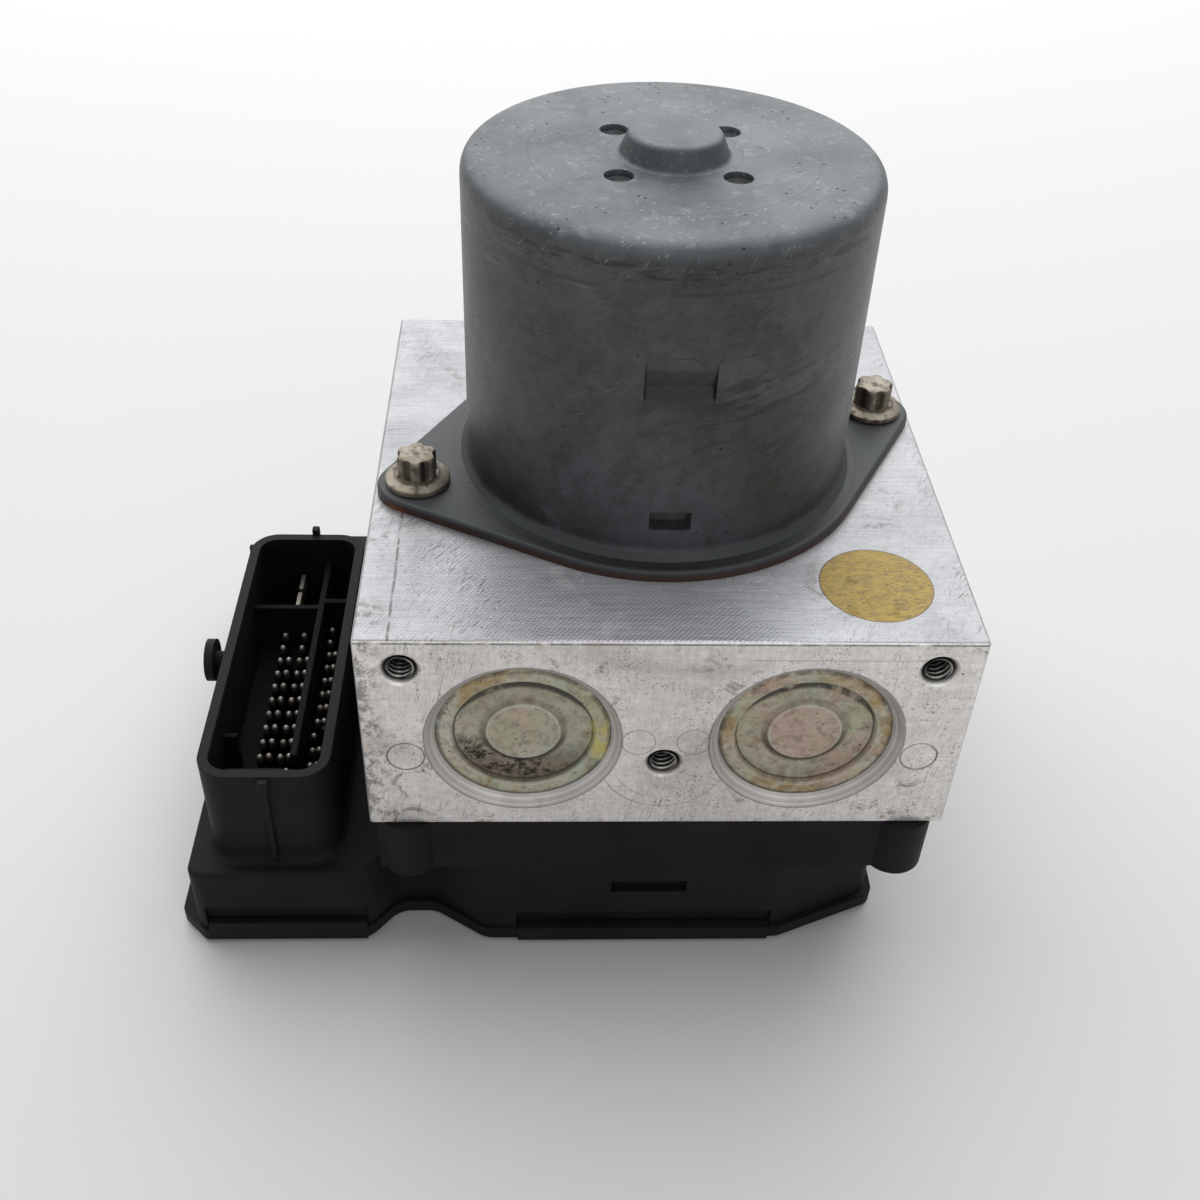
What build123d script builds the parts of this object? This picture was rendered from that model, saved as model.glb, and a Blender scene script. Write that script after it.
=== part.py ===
"""Hydraulic unit of an anti-lock brake: pump motor on top, valve block in the middle, control unit below.

Millimetres. The origin lies on the underside of the control unit's cover, +Z runs up to the motor,
-Y is the face with the accumulator caps, and -X is the side of the plug socket.
"""

from build123d import *
import os
from math import cos, radians, sin, sqrt

os.makedirs("parts", exist_ok=True)

SIDES = {"left": -1, "right": 1}

# ---- driving dimensions -------------------------------------------------------------------------
# fits
press_gap = 0.05  # pieces pressed or screwed home, drawn just clear of their seats
slide_gap = 0.05  # radial clearance of a piston or a journal
free_gap = 0.3  # clearance of pieces that only stand near each other

# hydraulic block
block_length = 103.0  # X
block_width = 104.8  # Y
block_height = 43.4  # Z
block_edge = 0.4  # broken edges
unit_height = 34.0  # floor to the block's lower face

# motor
motor_y = 1.9  # the motor axis, behind the block's centre
can_radius = 35.0
can_height = 58.3
can_wall = 2.5
can_shoulder = 2.8
flange_radius = 39.1
flange_thickness = 2.0
ear_radius = 7.3
bolt_circle = 45.4  # from the motor axis to each bolt
bolt_angle = 16.5  # turn of the ears about the axis, degrees
nub_height = 3.7
nub_base_radius = 9.3
nub_top_radius = 7.4
dimple_circle = 13.4
dimple_radius = 2.4
dimple_depth = 1.2
pocket_width = 11.0  # pressed stop for the magnets
pocket_height = 7.6
pocket_depth = 1.4
pocket_level = 36.0  # middle of the pocket above the block
window_width = 6.4
window_height = 3.0
window_level = 9.6
pilot_radius = 15.0
pilot_depth = 4.0

# rotor
shaft_radius = 3.95
shaft_top_radius = 2.45
shaft_tail_radius = 2.95
air_gap = 0.85
core_length = 25.0
slot_count = 12
winding_overhang = 5.0
commutator_radius = 9.0
commutator_length = 6.5
eccentric_radius = 5.85
eccentric_offset = 0.9
eccentric_length = 10.4
magnet_thickness = 8.6
magnet_length = 31.0
magnet_arc = 146.0

# bearings: outer radius, width
main_bearing_radius = 11.0
main_bearing_width = 7.0
top_bearing_radius = 8.0
top_bearing_width = 5.0
tail_bearing_radius = 5.0
tail_bearing_width = 6.0
ring_radius = 8.0
ring_width = 9.6

# pump
pump_level = 56.0
chamber_radius = 12.0
piston_radius = 3.25
piston_length = 17.0
collar_radius = 4.5
collar_length = 2.0
pump_bore_radius = 5.2
pump_plug_radius = 8.0
pump_plug_length = 10.1
plug_recess = 0.4
pump_wire = 0.8
pump_turns = 4

# accumulators
accumulator_x = 24.2
accumulator_level = 54.9
accumulator_mouth = 16.6
accumulator_lip_depth = 1.7
cap_radius = 15.0
cap_length = 4.7
cap_rim_inner = 12.05
cap_disc_radius = 6.4
accumulator_bore = 13.5
accumulator_depth = 34.0
accumulator_piston_length = 12.0
accumulator_stroke = 10.0
accumulator_wire = 1.8
accumulator_turns = 4

# threads, as their tap-drill radii
m6_drill = 2.5
m6_lead = 3.46
side_thread_x = 44.1
side_thread_drop = 6.3
centre_thread_drop = 28.0
side_thread_depths = (12.0, 14.0)  # each hole stops short of its own cross channel
centre_thread_depth = 13.0
ball_plug_x = 44.2
ball_plug_level = 17.1  # above the block's lower face
ball_plug_radius = 3.2
ball_plug_length = 5.0
channel_radius = 1.8
channel_depth = 40.0
port_level = 64.0
outlet_xs = (-43.0, -27.0, 27.0, 43.0)
outlet_depths = (14.0, 15.0, 16.0, 17.0)  # stepped, so the wheel channels pass one another
outlet_drill = 4.5
inlet_xs = (-9.5, 9.5)
inlet_depths = (18.0, 19.0)
inlet_drill = 5.5
port_lead = 0.9

# motor bolts
bolt_flange_radius = 5.8
bolt_flange_height = 1.8
bolt_head_radius = 3.75
bolt_head_height = 4.1
bolt_length = 14.0

# valves
valve_xs = (-27.9, -9.3, 9.3, 27.9)
valve_margin = 16.6  # outlet valves from the block's back face
valve_row_pitch = 18.4
valve_radius = 5.45
valve_depth = 16.0
valve_flange_radius = 6.35
valve_flange_height = 1.5
tube_radius = 3.2
tube_length = 18.0
tube_wall = 0.8
plunger_length = 15.0
needle_radius = 1.0
valve_travel = 0.35
coil_radius = 8.8
coil_length = 19.0

# control unit
cover_rim = 3.4
cover_floor = 1.8
cover_overhang = 0.1  # cover beyond the block, front and back
cover_left = -90.0
cover_right = 45.2
cover_corner = 5.0
scallop_x = -45.0
scallop_depth = 6.6
chamfer_start_x = 25.2
chamfer_run_y = 8.2
wall_inset = 1.4
wall = 2.4
wing_left = -86.6
wing_corner = 3.0
wing_top = 19.1
wing_inner_top = 16.8
plate_bottom = 12.0
plate_top = 14.0
main_left = -50.3
main_right = 44.2
main_step = 0.4  # upper part behind the block's face
main_wall = 3.2
boss_x = 45.0
boss_margin = 4.0  # screws from the block's front and back faces
boss_radius = 5.6
boss_bottom = 21.4
screw_radius = 1.95
screw_head_radius = 3.4
screw_head_height = 2.4
screw_depth = 12.0
board_level = 6.5
board_thickness = 1.6
post_xs = (-80.0, -18.6, 36.0)
post_radius = 2.0
seal_edge = 0.9
seal_width = 1.4
seal_depth = 1.2
seal_corner = 12.5
lips = [  # x from, x to, reach beyond the cover's rim, top, top of the shelf cut over it
    (-84.0, -54.2, 0.0, 5.5, 9.8),
    (-25.3, 23.2, 0.6, 4.1, 7.8),
]
lip_depth = 1.0  # behind the housing's front
shelf_depth = 1.2
slot_left = -7.7
slot_right = 6.5
contact_y = -22.0
contact_radius = 4.0

# plug socket
socket_left = -82.6
socket_right = -58.8
socket_front = -48.2
socket_back = 22.6
socket_rim = 41.4
socket_floor = 24.0
socket_wall = 1.9
socket_corner = 5.5
divider_top = 35.4
divider_thickness = 1.2
divider_x = -67.0
cross_wall_y = 5.0
divider_front = -37.0
front_ledge_y = -39.4
pin_size = 1.0
pin_tip = 31.4
pin_taper = 1.0
pin_pitch = 3.87
pin_starts = (  # x, y of each column's hindmost pin
    (-74.3, 1.7),
    (-72.6, -5.8),
    (-70.4, 1.7),
    (-68.8, -5.8),
    (-64.8, 3.4),
    (-63.3, -4.1),
    (-63.3, -31.2),
)
pin_counts = (10, 9, 10, 9, 11, 6, 2)
blade_x = -72.6
blade_ys = (8.6, 14.6)
blade_width = 4.8
blade_thickness = 0.8
blade_tip = 32.8
stud_y = -12.0
stud_level = 36.4
stud_radius = 1.8
stud_reach = 2.6
stud_head_radius = 4.2
stud_head_thickness = 1.7

# ---- places worked out from them ----------------------------------------------------------------
block_bottom = unit_height
block_top = block_bottom + block_height
block_front = -block_width / 2
block_back = block_width / 2
half_length = block_length / 2
roof = block_top + can_height
roof_inside = roof - can_wall
can_inner = can_radius - can_wall
core_radius = can_inner - press_gap - magnet_thickness - air_gap
bolt_x = bolt_circle * cos(radians(bolt_angle))
bolt_dy = bolt_circle * sin(radians(bolt_angle))
bolt_places = [(bolt_x, motor_y + bolt_dy), (-bolt_x, motor_y - bolt_dy)]
boss_y = block_back - boss_margin
main_front = block_back - main_step
cover_front = block_back + cover_overhang
chamfer_end_y = cover_front - chamfer_run_y
post_y = cover_front - 16.5
screw_places = [(x, y) for x in (-boss_x, boss_x) for y in (-boss_y, boss_y)]
valve_rows = {"inlet": block_back - valve_margin - valve_row_pitch, "outlet": block_back - valve_margin}
valve_places = [(x, y) for y in valve_rows.values() for x in valve_xs]
board_top = board_level + board_thickness
pilot_floor = block_top - pilot_depth
ring_bottom = pump_level - ring_width / 2
chamber_floor = pump_level - eccentric_length / 2 - 1.3
tail_top = chamber_floor - 0.8
tail_floor = tail_top - tail_bearing_width
swept_radius = ring_radius + eccentric_offset
main_bearing_bottom = block_top + 1.1
main_bearing_top = main_bearing_bottom + main_bearing_width
commutator_bottom = main_bearing_top + 1.0
winding_bottom = commutator_bottom + commutator_length + 2.0
core_bottom = winding_bottom + winding_overhang
core_top = core_bottom + core_length
winding_top = core_top + winding_overhang
retainer_top = roof_inside
top_bearing_top = retainer_top - 0.2
top_bearing_bottom = top_bearing_top - top_bearing_width

motor_axis = Axis((0, motor_y, 0), (0, 0, 1))
motor_section = Plane((0, motor_y, 0), x_dir=(1, 0, 0), z_dir=(0, -1, 0))  # local x = radius, y = Z


def motor_level(height, shift=0.0):
    """Plane across the motor axis at a height, its centre moved along X by shift."""
    return Plane((shift, motor_y, height))


def outline_of(*points):
    """Points of a closed outline, kept where they are in the open sketch."""
    return Polygon(*points, align=None)


# ---- hydraulic block ----------------------------------------------------------------------------
accumulator_seat = accumulator_lip_depth - 0.2 + cap_length
plug_seat = half_length - plug_recess - pump_plug_length
piston_start = swept_radius + 0.1
piston_collar = piston_start + piston_length
spring_shoulder = piston_collar - 0.5

with BuildPart() as hydraulic_block:
    with BuildSketch(Plane.XY.offset(block_bottom)):
        Rectangle(block_length, block_width)
    extrude(amount=block_height)
    chamfer(hydraulic_block.edges(), block_edge)
    # stepped bore of the motor: pilot, eccentric chamber, tail bearing
    with BuildSketch(motor_section):
        outline_of(
            (0, tail_floor),
            (tail_bearing_radius, tail_floor),
            (tail_bearing_radius, chamber_floor),
            (chamber_radius, chamber_floor),
            (chamber_radius, pilot_floor),
            (pilot_radius, pilot_floor),
            (pilot_radius, block_top),
            (0, block_top),
        )
    revolve(axis=motor_axis, mode=Mode.SUBTRACT)
    for side in SIDES.values():
        # accumulator bore with the rolled lip round its cap
        with BuildSketch(Plane.XY.offset(accumulator_level)):
            with BuildLine():
                Polyline(
                    (side * accumulator_x, block_front),
                    (side * accumulator_x + accumulator_mouth, block_front),
                    (side * accumulator_x + cap_radius, block_front + accumulator_lip_depth),
                    (side * accumulator_x + cap_radius, block_front + accumulator_seat),
                    (side * accumulator_x + accumulator_bore, block_front + accumulator_seat),
                    (side * accumulator_x + accumulator_bore, block_front + accumulator_depth),
                    (side * accumulator_x, block_front + accumulator_depth),
                    close=True,
                )
            make_face()
        revolve(axis=Axis((side * accumulator_x, 0, accumulator_level), (0, 1, 0)), mode=Mode.SUBTRACT)
        # pump bore: piston guide, spring room, plug seat
        with BuildSketch(Plane((0, motor_y, pump_level), x_dir=(1, 0, 0), z_dir=(0, -1, 0))):
            outline_of(
                (side * (chamber_radius - 3), 0),
                (side * (chamber_radius - 3), piston_radius + slide_gap),
                (side * spring_shoulder, piston_radius + slide_gap),
                (side * spring_shoulder, pump_bore_radius),
                (side * plug_seat, pump_bore_radius),
                (side * plug_seat, pump_plug_radius),
                (side * half_length, pump_plug_radius),
                (side * half_length, 0),
            )
        revolve(axis=Axis((0, motor_y, pump_level), (1, 0, 0)), mode=Mode.SUBTRACT)
    # threads of the mounting bracket in the front face
    front_threads = (
        (-side_thread_x, side_thread_drop, side_thread_depths[0]),
        (side_thread_x, side_thread_drop, side_thread_depths[1]),
        (0, centre_thread_drop, centre_thread_depth),
    )
    for x, drop, depth in front_threads:
        with Locations(Plane((x, block_front, block_top - drop), x_dir=(1, 0, 0), z_dir=(0, -1, 0))):
            CounterSinkHole(m6_drill, m6_lead, depth=depth, counter_sink_angle=90)
    # cross channels, each closed by a ball plug
    for side in SIDES.values():
        mouth = (side * ball_plug_x, block_front, block_bottom + ball_plug_level)
        with Locations(Plane(mouth, x_dir=(1, 0, 0), z_dir=(0, -1, 0))):
            CounterBoreHole(channel_radius, ball_plug_radius, ball_plug_length, depth=channel_depth)
    # brake line ports in the back face
    ports = [(x, depth, outlet_drill) for x, depth in zip(outlet_xs, outlet_depths)]
    ports += [(x, depth, inlet_drill) for x, depth in zip(inlet_xs, inlet_depths)]
    for x, depth, drill in ports:
        with Locations(Plane((x, block_back, port_level), x_dir=(-1, 0, 0), z_dir=(0, 1, 0))):
            CounterSinkHole(drill, drill + port_lead, depth=depth, counter_sink_angle=90)
    # motor bolts from above, contact rod right through, control unit screws and valves from below
    with Locations(*[Plane((x, y, block_top)) for x, y in bolt_places]):
        CounterSinkHole(m6_drill, m6_lead, depth=bolt_length + 1, counter_sink_angle=90)
    with BuildSketch(Plane.XY.offset(block_bottom)):
        with Locations((0, contact_y)):
            Circle(contact_radius)
    extrude(amount=block_height, mode=Mode.SUBTRACT)
    with BuildSketch(Plane.XY.offset(block_bottom)):
        with Locations(*screw_places):
            Circle(screw_radius + slide_gap)
    extrude(amount=screw_depth + 1, mode=Mode.SUBTRACT)
    with BuildSketch(Plane.XY.offset(block_bottom)):
        with Locations(*valve_places):
            Circle(valve_radius + slide_gap)
    extrude(amount=valve_depth, mode=Mode.SUBTRACT)
    with BuildSketch(Plane.XY.offset(block_bottom)):
        with Locations(*valve_places):
            Circle(valve_flange_radius + slide_gap)
    extrude(amount=valve_flange_height, mode=Mode.SUBTRACT)
hydraulic_block.part.label = "hydraulic_block"
export_step(hydraulic_block.part, "parts/hydraulic_block.step")

# ---- motor housing ------------------------------------------------------------------------------
with BuildPart() as motor_housing:
    # two-eared flange: the ears' circles joined to the rim by their common tangents
    with BuildSketch(Plane.XY.offset(block_top)):
        with Locations((0, motor_y)):
            Circle(flange_radius)
        for x, y in bolt_places:
            with Locations((x, y)):
                Circle(ear_radius)
        make_hull()
    extrude(amount=flange_thickness)
    fillet(motor_housing.faces().sort_by(Axis.Z)[-1].edges(), 0.6)
    # deep-drawn can with the nub over the shaft's end
    with BuildSketch(motor_section):
        with BuildLine():
            FilletPolyline(
                (0, roof + nub_height),
                (nub_top_radius, roof + nub_height),
                (nub_base_radius, roof),
                (can_radius, roof),
                (can_radius, block_top),
                radius=[0.8, 0.7, can_shoulder],
            )
            FilletPolyline(
                (can_radius, block_top),
                (can_inner, block_top),
                (can_inner, roof_inside),
                (nub_top_radius - 1.6, roof_inside),
                (nub_top_radius - 2.4, roof + nub_height - can_wall),
                (0, roof + nub_height - can_wall),
                radius=[0, 1.2, 0, 0],
            )
            Line((0, roof + nub_height - can_wall), (0, roof + nub_height))
        make_face()
    revolve(axis=motor_axis)
    # concave roll where the can meets the flange
    with BuildSketch(motor_section):
        with BuildLine():
            corner = block_top + flange_thickness
            Polyline(
                (can_radius + 1.2, corner),
                (can_radius - 0.5, corner),
                (can_radius - 0.5, corner + 1.2),
                (can_radius, corner + 1.2),
            )
            RadiusArc((can_radius, corner + 1.2), (can_radius + 1.2, corner), 1.2)
        make_face()
    revolve(axis=motor_axis)
    with BuildSketch(Plane.XY.offset(block_top)):
        with Locations((0, motor_y)):
            Circle(can_inner)
    extrude(amount=flange_thickness, mode=Mode.SUBTRACT)
    with BuildSketch(Plane.XY.offset(block_top)):
        with Locations(*bolt_places):
            Circle(m6_drill + 0.8)
    extrude(amount=flange_thickness, mode=Mode.SUBTRACT)
    # four staking dimples round the nub
    with BuildSketch(motor_level(roof)):
        with PolarLocations(dimple_circle, 4, start_angle=45):
            Circle(dimple_radius)
    extrude(amount=-dimple_depth, mode=Mode.SUBTRACT)
    # pressed stop between the magnets: a bump inside and the dent that makes it outside
    pocket_mid = block_top + pocket_level
    for shell, mode in ((can_inner, Mode.ADD), (can_radius, Mode.SUBTRACT)):
        surface = motor_y - shell
        with BuildSketch(Plane.YZ.offset(-pocket_width / 2)):
            outline_of(
                (surface - 0.6, pocket_mid + pocket_height / 2),
                (surface + 0.3, pocket_mid + pocket_height / 2),
                (surface + pocket_depth, pocket_mid - 0.3),
                (surface + pocket_depth, pocket_mid - 0.6),
                (surface - 0.6, pocket_mid - pocket_height / 2),
            )
        extrude(amount=pocket_width, mode=mode)
    # small window low in the wall
    with BuildSketch(Plane.XZ.offset(can_radius - motor_y + 1)):
        with Locations((0, block_top + window_level)):
            Rectangle(window_width, window_height)
    extrude(amount=-(can_wall + 2), mode=Mode.SUBTRACT)
motor_housing.part.label = "motor_housing"
export_step(motor_housing.part, "parts/motor_housing.step")

# ---- motor bolts --------------------------------------------------------------------------------
bolt_seat = block_top + flange_thickness
with BuildPart() as motor_bolts:
    with BuildSketch(Plane.XY.offset(bolt_seat - bolt_length)):
        with Locations(*bolt_places):
            Circle(m6_drill - slide_gap)
    extrude(amount=bolt_length)
    for x, y in bolt_places:
        # flange with a sloped top
        with BuildSketch(Plane((x, y, 0), x_dir=(1, 0, 0), z_dir=(0, -1, 0))):
            outline_of(
                (0, bolt_seat),
                (bolt_flange_radius, bolt_seat),
                (bolt_flange_radius, bolt_seat + bolt_flange_height * 0.7),
                (bolt_head_radius, bolt_seat + bolt_flange_height),
                (0, bolt_seat + bolt_flange_height),
            )
        revolve(axis=Axis((x, y, 0), (0, 0, 1)))
        # external six-lobe head
        with BuildSketch(Plane((x, y, bolt_seat + bolt_flange_height))):
            Circle(bolt_head_radius * 0.83)
            with PolarLocations(bolt_head_radius * 0.76, 6):
                Circle(bolt_head_radius * 0.24)
        extrude(amount=bolt_head_height)
motor_bolts.part.label = "motor_bolts"
export_step(motor_bolts.part, "parts/motor_bolts.step")

# ---- brush plate --------------------------------------------------------------------------------
brush_width = 6.0
brush_height = 4.6
brush_start = commutator_radius + 0.1
brush_level = commutator_bottom + 3.0
holder_start = brush_start + 2.0
holder_end = can_inner - 9.0
brush_length = holder_end - brush_start - 4.4  # leaves room for the spring behind it
plate_thickness = 3.0
hub_radius = 13.5

with BuildPart() as brush_plate:
    with BuildSketch(motor_level(pilot_floor + 0.5)):
        Circle(pilot_radius - 0.1)
    extrude(amount=block_top - pilot_floor - 0.5)
    with BuildSketch(motor_level(block_top)):
        Circle(can_inner - free_gap)
    extrude(amount=plate_thickness)
    with BuildSketch(motor_level(block_top)):
        Circle(hub_radius)
    extrude(amount=main_bearing_top - block_top + 0.4)
    # two brush guides, closed at their outer ends
    for side in SIDES.values():
        with BuildSketch(motor_level(block_top + plate_thickness)):
            with Locations((side * (holder_start + holder_end) / 2, 0)):
                Rectangle(holder_end - holder_start, brush_width + 3)
        extrude(amount=brush_level + brush_height / 2 + 1.4 - block_top - plate_thickness)
    # bearing seat, shaft hole, clearance round the commutator
    with BuildSketch(motor_level(main_bearing_bottom)):
        Circle(main_bearing_radius)
    extrude(amount=main_bearing_width + 6, mode=Mode.SUBTRACT)
    with BuildSketch(motor_level(pilot_floor)):
        Circle(shaft_radius + 1)
    extrude(amount=pilot_depth + 6, mode=Mode.SUBTRACT)
    with BuildSketch(motor_level(brush_level - brush_height / 2 - slide_gap)):
        Rectangle(2 * (holder_end - 1.5), brush_width + 2 * slide_gap)
    extrude(amount=brush_height + 2 * slide_gap, mode=Mode.SUBTRACT)
    with BuildSketch(Plane.XY.offset(block_top)):
        with Locations((0, contact_y)):
            Circle(contact_radius - slide_gap)
    extrude(amount=plate_thickness, mode=Mode.SUBTRACT)
brush_plate.part.label = "brush_plate"
export_step(brush_plate.part, "parts/brush_plate.step")

with BuildPart() as brushes:
    for side in SIDES.values():
        middle = side * (brush_start + brush_length / 2)
        with BuildSketch(motor_level(brush_level - brush_height / 2, middle)):
            Rectangle(brush_length, brush_width)
        extrude(amount=brush_height)
brushes.part.label = "brushes"
export_step(brushes.part, "parts/brushes.step")

with BuildPart() as contact_rod:
    with BuildSketch(Plane.XY.offset(board_top)):
        with Locations((0, contact_y)):
            Circle(contact_radius - slide_gap)
    extrude(amount=block_top + plate_thickness - board_top)
contact_rod.part.label = "contact_rod"
export_step(contact_rod.part, "parts/contact_rod.step")

# ---- magnets ------------------------------------------------------------------------------------
magnet_outer = can_inner - press_gap
magnet_bottom = (core_bottom + core_top - magnet_length) / 2
with BuildPart() as magnets:
    with BuildSketch(motor_level(magnet_bottom)):
        Circle(magnet_outer)
        Circle(magnet_outer - magnet_thickness, mode=Mode.SUBTRACT)
        # the gaps at front and back that the pressed stops fill
        gap = 2 * magnet_outer * cos(radians(magnet_arc / 2))
        Rectangle(gap, 2 * magnet_outer + 1, mode=Mode.SUBTRACT)
    extrude(amount=magnet_length)
magnets.part.label = "magnets"
export_step(magnets.part, "parts/magnets.step")

# ---- rotor --------------------------------------------------------------------------------------
with BuildPart() as rotor_shaft:
    with BuildSketch(motor_level(pump_level + eccentric_length / 2)):
        Circle(shaft_radius)
    extrude(amount=top_bearing_bottom - 0.3 - pump_level - eccentric_length / 2)
    with BuildSketch(motor_level(top_bearing_bottom - 0.3)):
        Circle(shaft_top_radius)
    extrude(amount=top_bearing_width + 1.8)
    with BuildSketch(motor_level(pump_level - eccentric_length / 2, eccentric_offset)):
        Circle(eccentric_radius)
    extrude(amount=eccentric_length)
    with BuildSketch(motor_level(tail_floor + 0.5)):
        Circle(shaft_tail_radius)
    extrude(amount=pump_level - eccentric_length / 2 - tail_floor - 0.5)
rotor_shaft.part.label = "rotor_shaft"
export_step(rotor_shaft.part, "parts/rotor_shaft.step")

slot_floor = 12.0
slot_top = core_radius - 2.6
slot_width = 4.4
tooth_gap = 1.6
with BuildPart() as rotor_core:
    with BuildSketch(motor_level(core_bottom)):
        Circle(core_radius)
        Circle(shaft_radius + press_gap, mode=Mode.SUBTRACT)
        with PolarLocations((slot_floor + slot_top) / 2, slot_count):
            Rectangle(slot_top - slot_floor, slot_width, mode=Mode.SUBTRACT)
        with PolarLocations(core_radius - 1, slot_count):
            Rectangle(4, tooth_gap, mode=Mode.SUBTRACT)
    extrude(amount=core_length)
rotor_core.part.label = "rotor_core"
export_step(rotor_core.part, "parts/rotor_core.step")

with BuildPart() as rotor_winding:
    for start, height in ((winding_bottom, winding_overhang), (core_top, winding_overhang)):
        with BuildSketch(motor_level(start)):
            Circle(slot_top)
            Circle(slot_floor - 1, mode=Mode.SUBTRACT)
        extrude(amount=height)
    with BuildSketch(motor_level(core_bottom)):
        with PolarLocations((slot_floor + slot_top) / 2, slot_count):
            Rectangle(slot_top - slot_floor - 0.6, slot_width - 0.2)
    extrude(amount=core_length)
rotor_winding.part.label = "rotor_winding"
export_step(rotor_winding.part, "parts/rotor_winding.step")

with BuildPart() as commutator:
    with BuildSketch(motor_level(commutator_bottom)):
        Circle(commutator_radius)
        Circle(shaft_radius + press_gap, mode=Mode.SUBTRACT)
    extrude(amount=commutator_length)
    # risers that the winding's ends are hooked to
    with BuildSketch(motor_level(commutator_bottom + commutator_length)):
        Circle(slot_floor - 1)
        Circle(shaft_radius + press_gap, mode=Mode.SUBTRACT)
        with PolarLocations(slot_floor - 1, slot_count, start_angle=180 / slot_count):
            Rectangle(4, 1.2, mode=Mode.SUBTRACT)
    extrude(amount=2.5)
commutator.part.label = "commutator"
export_step(commutator.part, "parts/commutator.step")

with BuildPart() as eccentric_ring:
    with BuildSketch(motor_level(ring_bottom, eccentric_offset)):
        Circle(ring_radius)
        Circle(eccentric_radius + slide_gap, mode=Mode.SUBTRACT)
    extrude(amount=ring_width)
eccentric_ring.part.label = "eccentric_ring"
export_step(eccentric_ring.part, "parts/eccentric_ring.step")

# ---- bearings -----------------------------------------------------------------------------------
bearings = {  # node: lower face, width, outer radius, shaft radius
    "main_bearing": (main_bearing_bottom, main_bearing_width, main_bearing_radius, shaft_radius),
    "top_bearing": (top_bearing_bottom, top_bearing_width, top_bearing_radius, shaft_top_radius),
    "tail_bearing": (tail_floor, tail_bearing_width, tail_bearing_radius, shaft_tail_radius),
}
for node, (bottom, width, outer, journal) in bearings.items():
    with BuildPart() as bearing:
        outer -= press_gap
        inner = journal + slide_gap
        shield = (outer - inner) / 4
        with BuildSketch(motor_section):
            outline_of(
                (inner, bottom),
                (inner + shield, bottom),
                (inner + shield, bottom + 0.4),
                (outer - shield, bottom + 0.4),
                (outer - shield, bottom),
                (outer, bottom),
                (outer, bottom + width),
                (inner, bottom + width),
            )
        revolve(axis=motor_axis)
    bearing.part.label = node
    export_step(bearing.part, f"parts/{node}.step")

# cup staked under the roof that holds the top bearing
with BuildPart() as bearing_retainer:
    with BuildSketch(motor_section):
        outline_of(
            (top_bearing_radius, roof_inside),
            (dimple_circle + 3.2, roof_inside),
            (dimple_circle + 3.2, roof_inside - 1.2),
            (top_bearing_radius + 1.2, roof_inside - 1.2),
            (top_bearing_radius + 1.2, top_bearing_bottom - 1.0),
            (top_bearing_radius - 1.5, top_bearing_bottom - 1.0),
            (top_bearing_radius - 1.5, top_bearing_bottom),
            (top_bearing_radius, top_bearing_bottom),
        )
    revolve(axis=motor_axis)
bearing_retainer.part.label = "bearing_retainer"
export_step(bearing_retainer.part, "parts/bearing_retainer.step")

# ---- pump ---------------------------------------------------------------------------------------
pump_axis = Axis((0, motor_y, pump_level), (1, 0, 0))
pump_section = Plane((0, motor_y, pump_level), x_dir=(1, 0, 0), z_dir=(0, -1, 0))
spring_tip = piston_collar + collar_length
for name, side in SIDES.items():
    with BuildPart() as pump_piston:
        with BuildSketch(pump_section):
            outline_of(
                (side * piston_start, 0),
                (side * piston_start, piston_radius),
                (side * piston_collar, piston_radius),
                (side * piston_collar, collar_radius),
                (side * spring_tip, collar_radius),
                (side * spring_tip, pump_bore_radius - 2.8),
                (side * (spring_tip + 3), pump_bore_radius - 2.8),
                (side * (spring_tip + 3), 0),
            )
        revolve(axis=pump_axis)
    pump_piston.part.label = f"pump_piston_{name}"
    export_step(pump_piston.part, f"parts/pump_piston_{name}.step")

    with BuildPart() as pump_plug:
        with BuildSketch(pump_section):
            outline_of(
                (side * plug_seat, 0),
                (side * plug_seat, pump_plug_radius - press_gap),
                (side * (half_length - plug_recess - 0.8), pump_plug_radius - press_gap),
                (side * (half_length - plug_recess), pump_plug_radius - 0.8),
                (side * (half_length - plug_recess), 3.0),
                (side * (half_length - plug_recess - 2.5), 3.0),
                (side * (half_length - plug_recess - 3.5), 0),
            )
        revolve(axis=pump_axis)
    pump_plug.part.label = f"pump_plug_{name}"
    export_step(pump_plug.part, f"parts/pump_plug_{name}.step")

    with BuildPart() as pump_spring:
        spring_room = plug_seat - spring_tip - pump_wire
        start = side * (spring_tip + pump_wire / 2)
        with BuildLine() as coil_line:
            Helix(
                spring_room / pump_turns,
                spring_room,
                pump_bore_radius - 1.4,
                center=(start, motor_y, pump_level),
                direction=(side, 0, 0),
            )
        with BuildSketch(Plane(coil_line.line @ 0, z_dir=coil_line.line % 0)):
            RegularPolygon(pump_wire / 2, 4)
        sweep(path=coil_line.line, is_frenet=True)
    pump_spring.part.label = f"pump_spring_{name}"
    export_step(pump_spring.part, f"parts/pump_spring_{name}.step")

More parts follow.
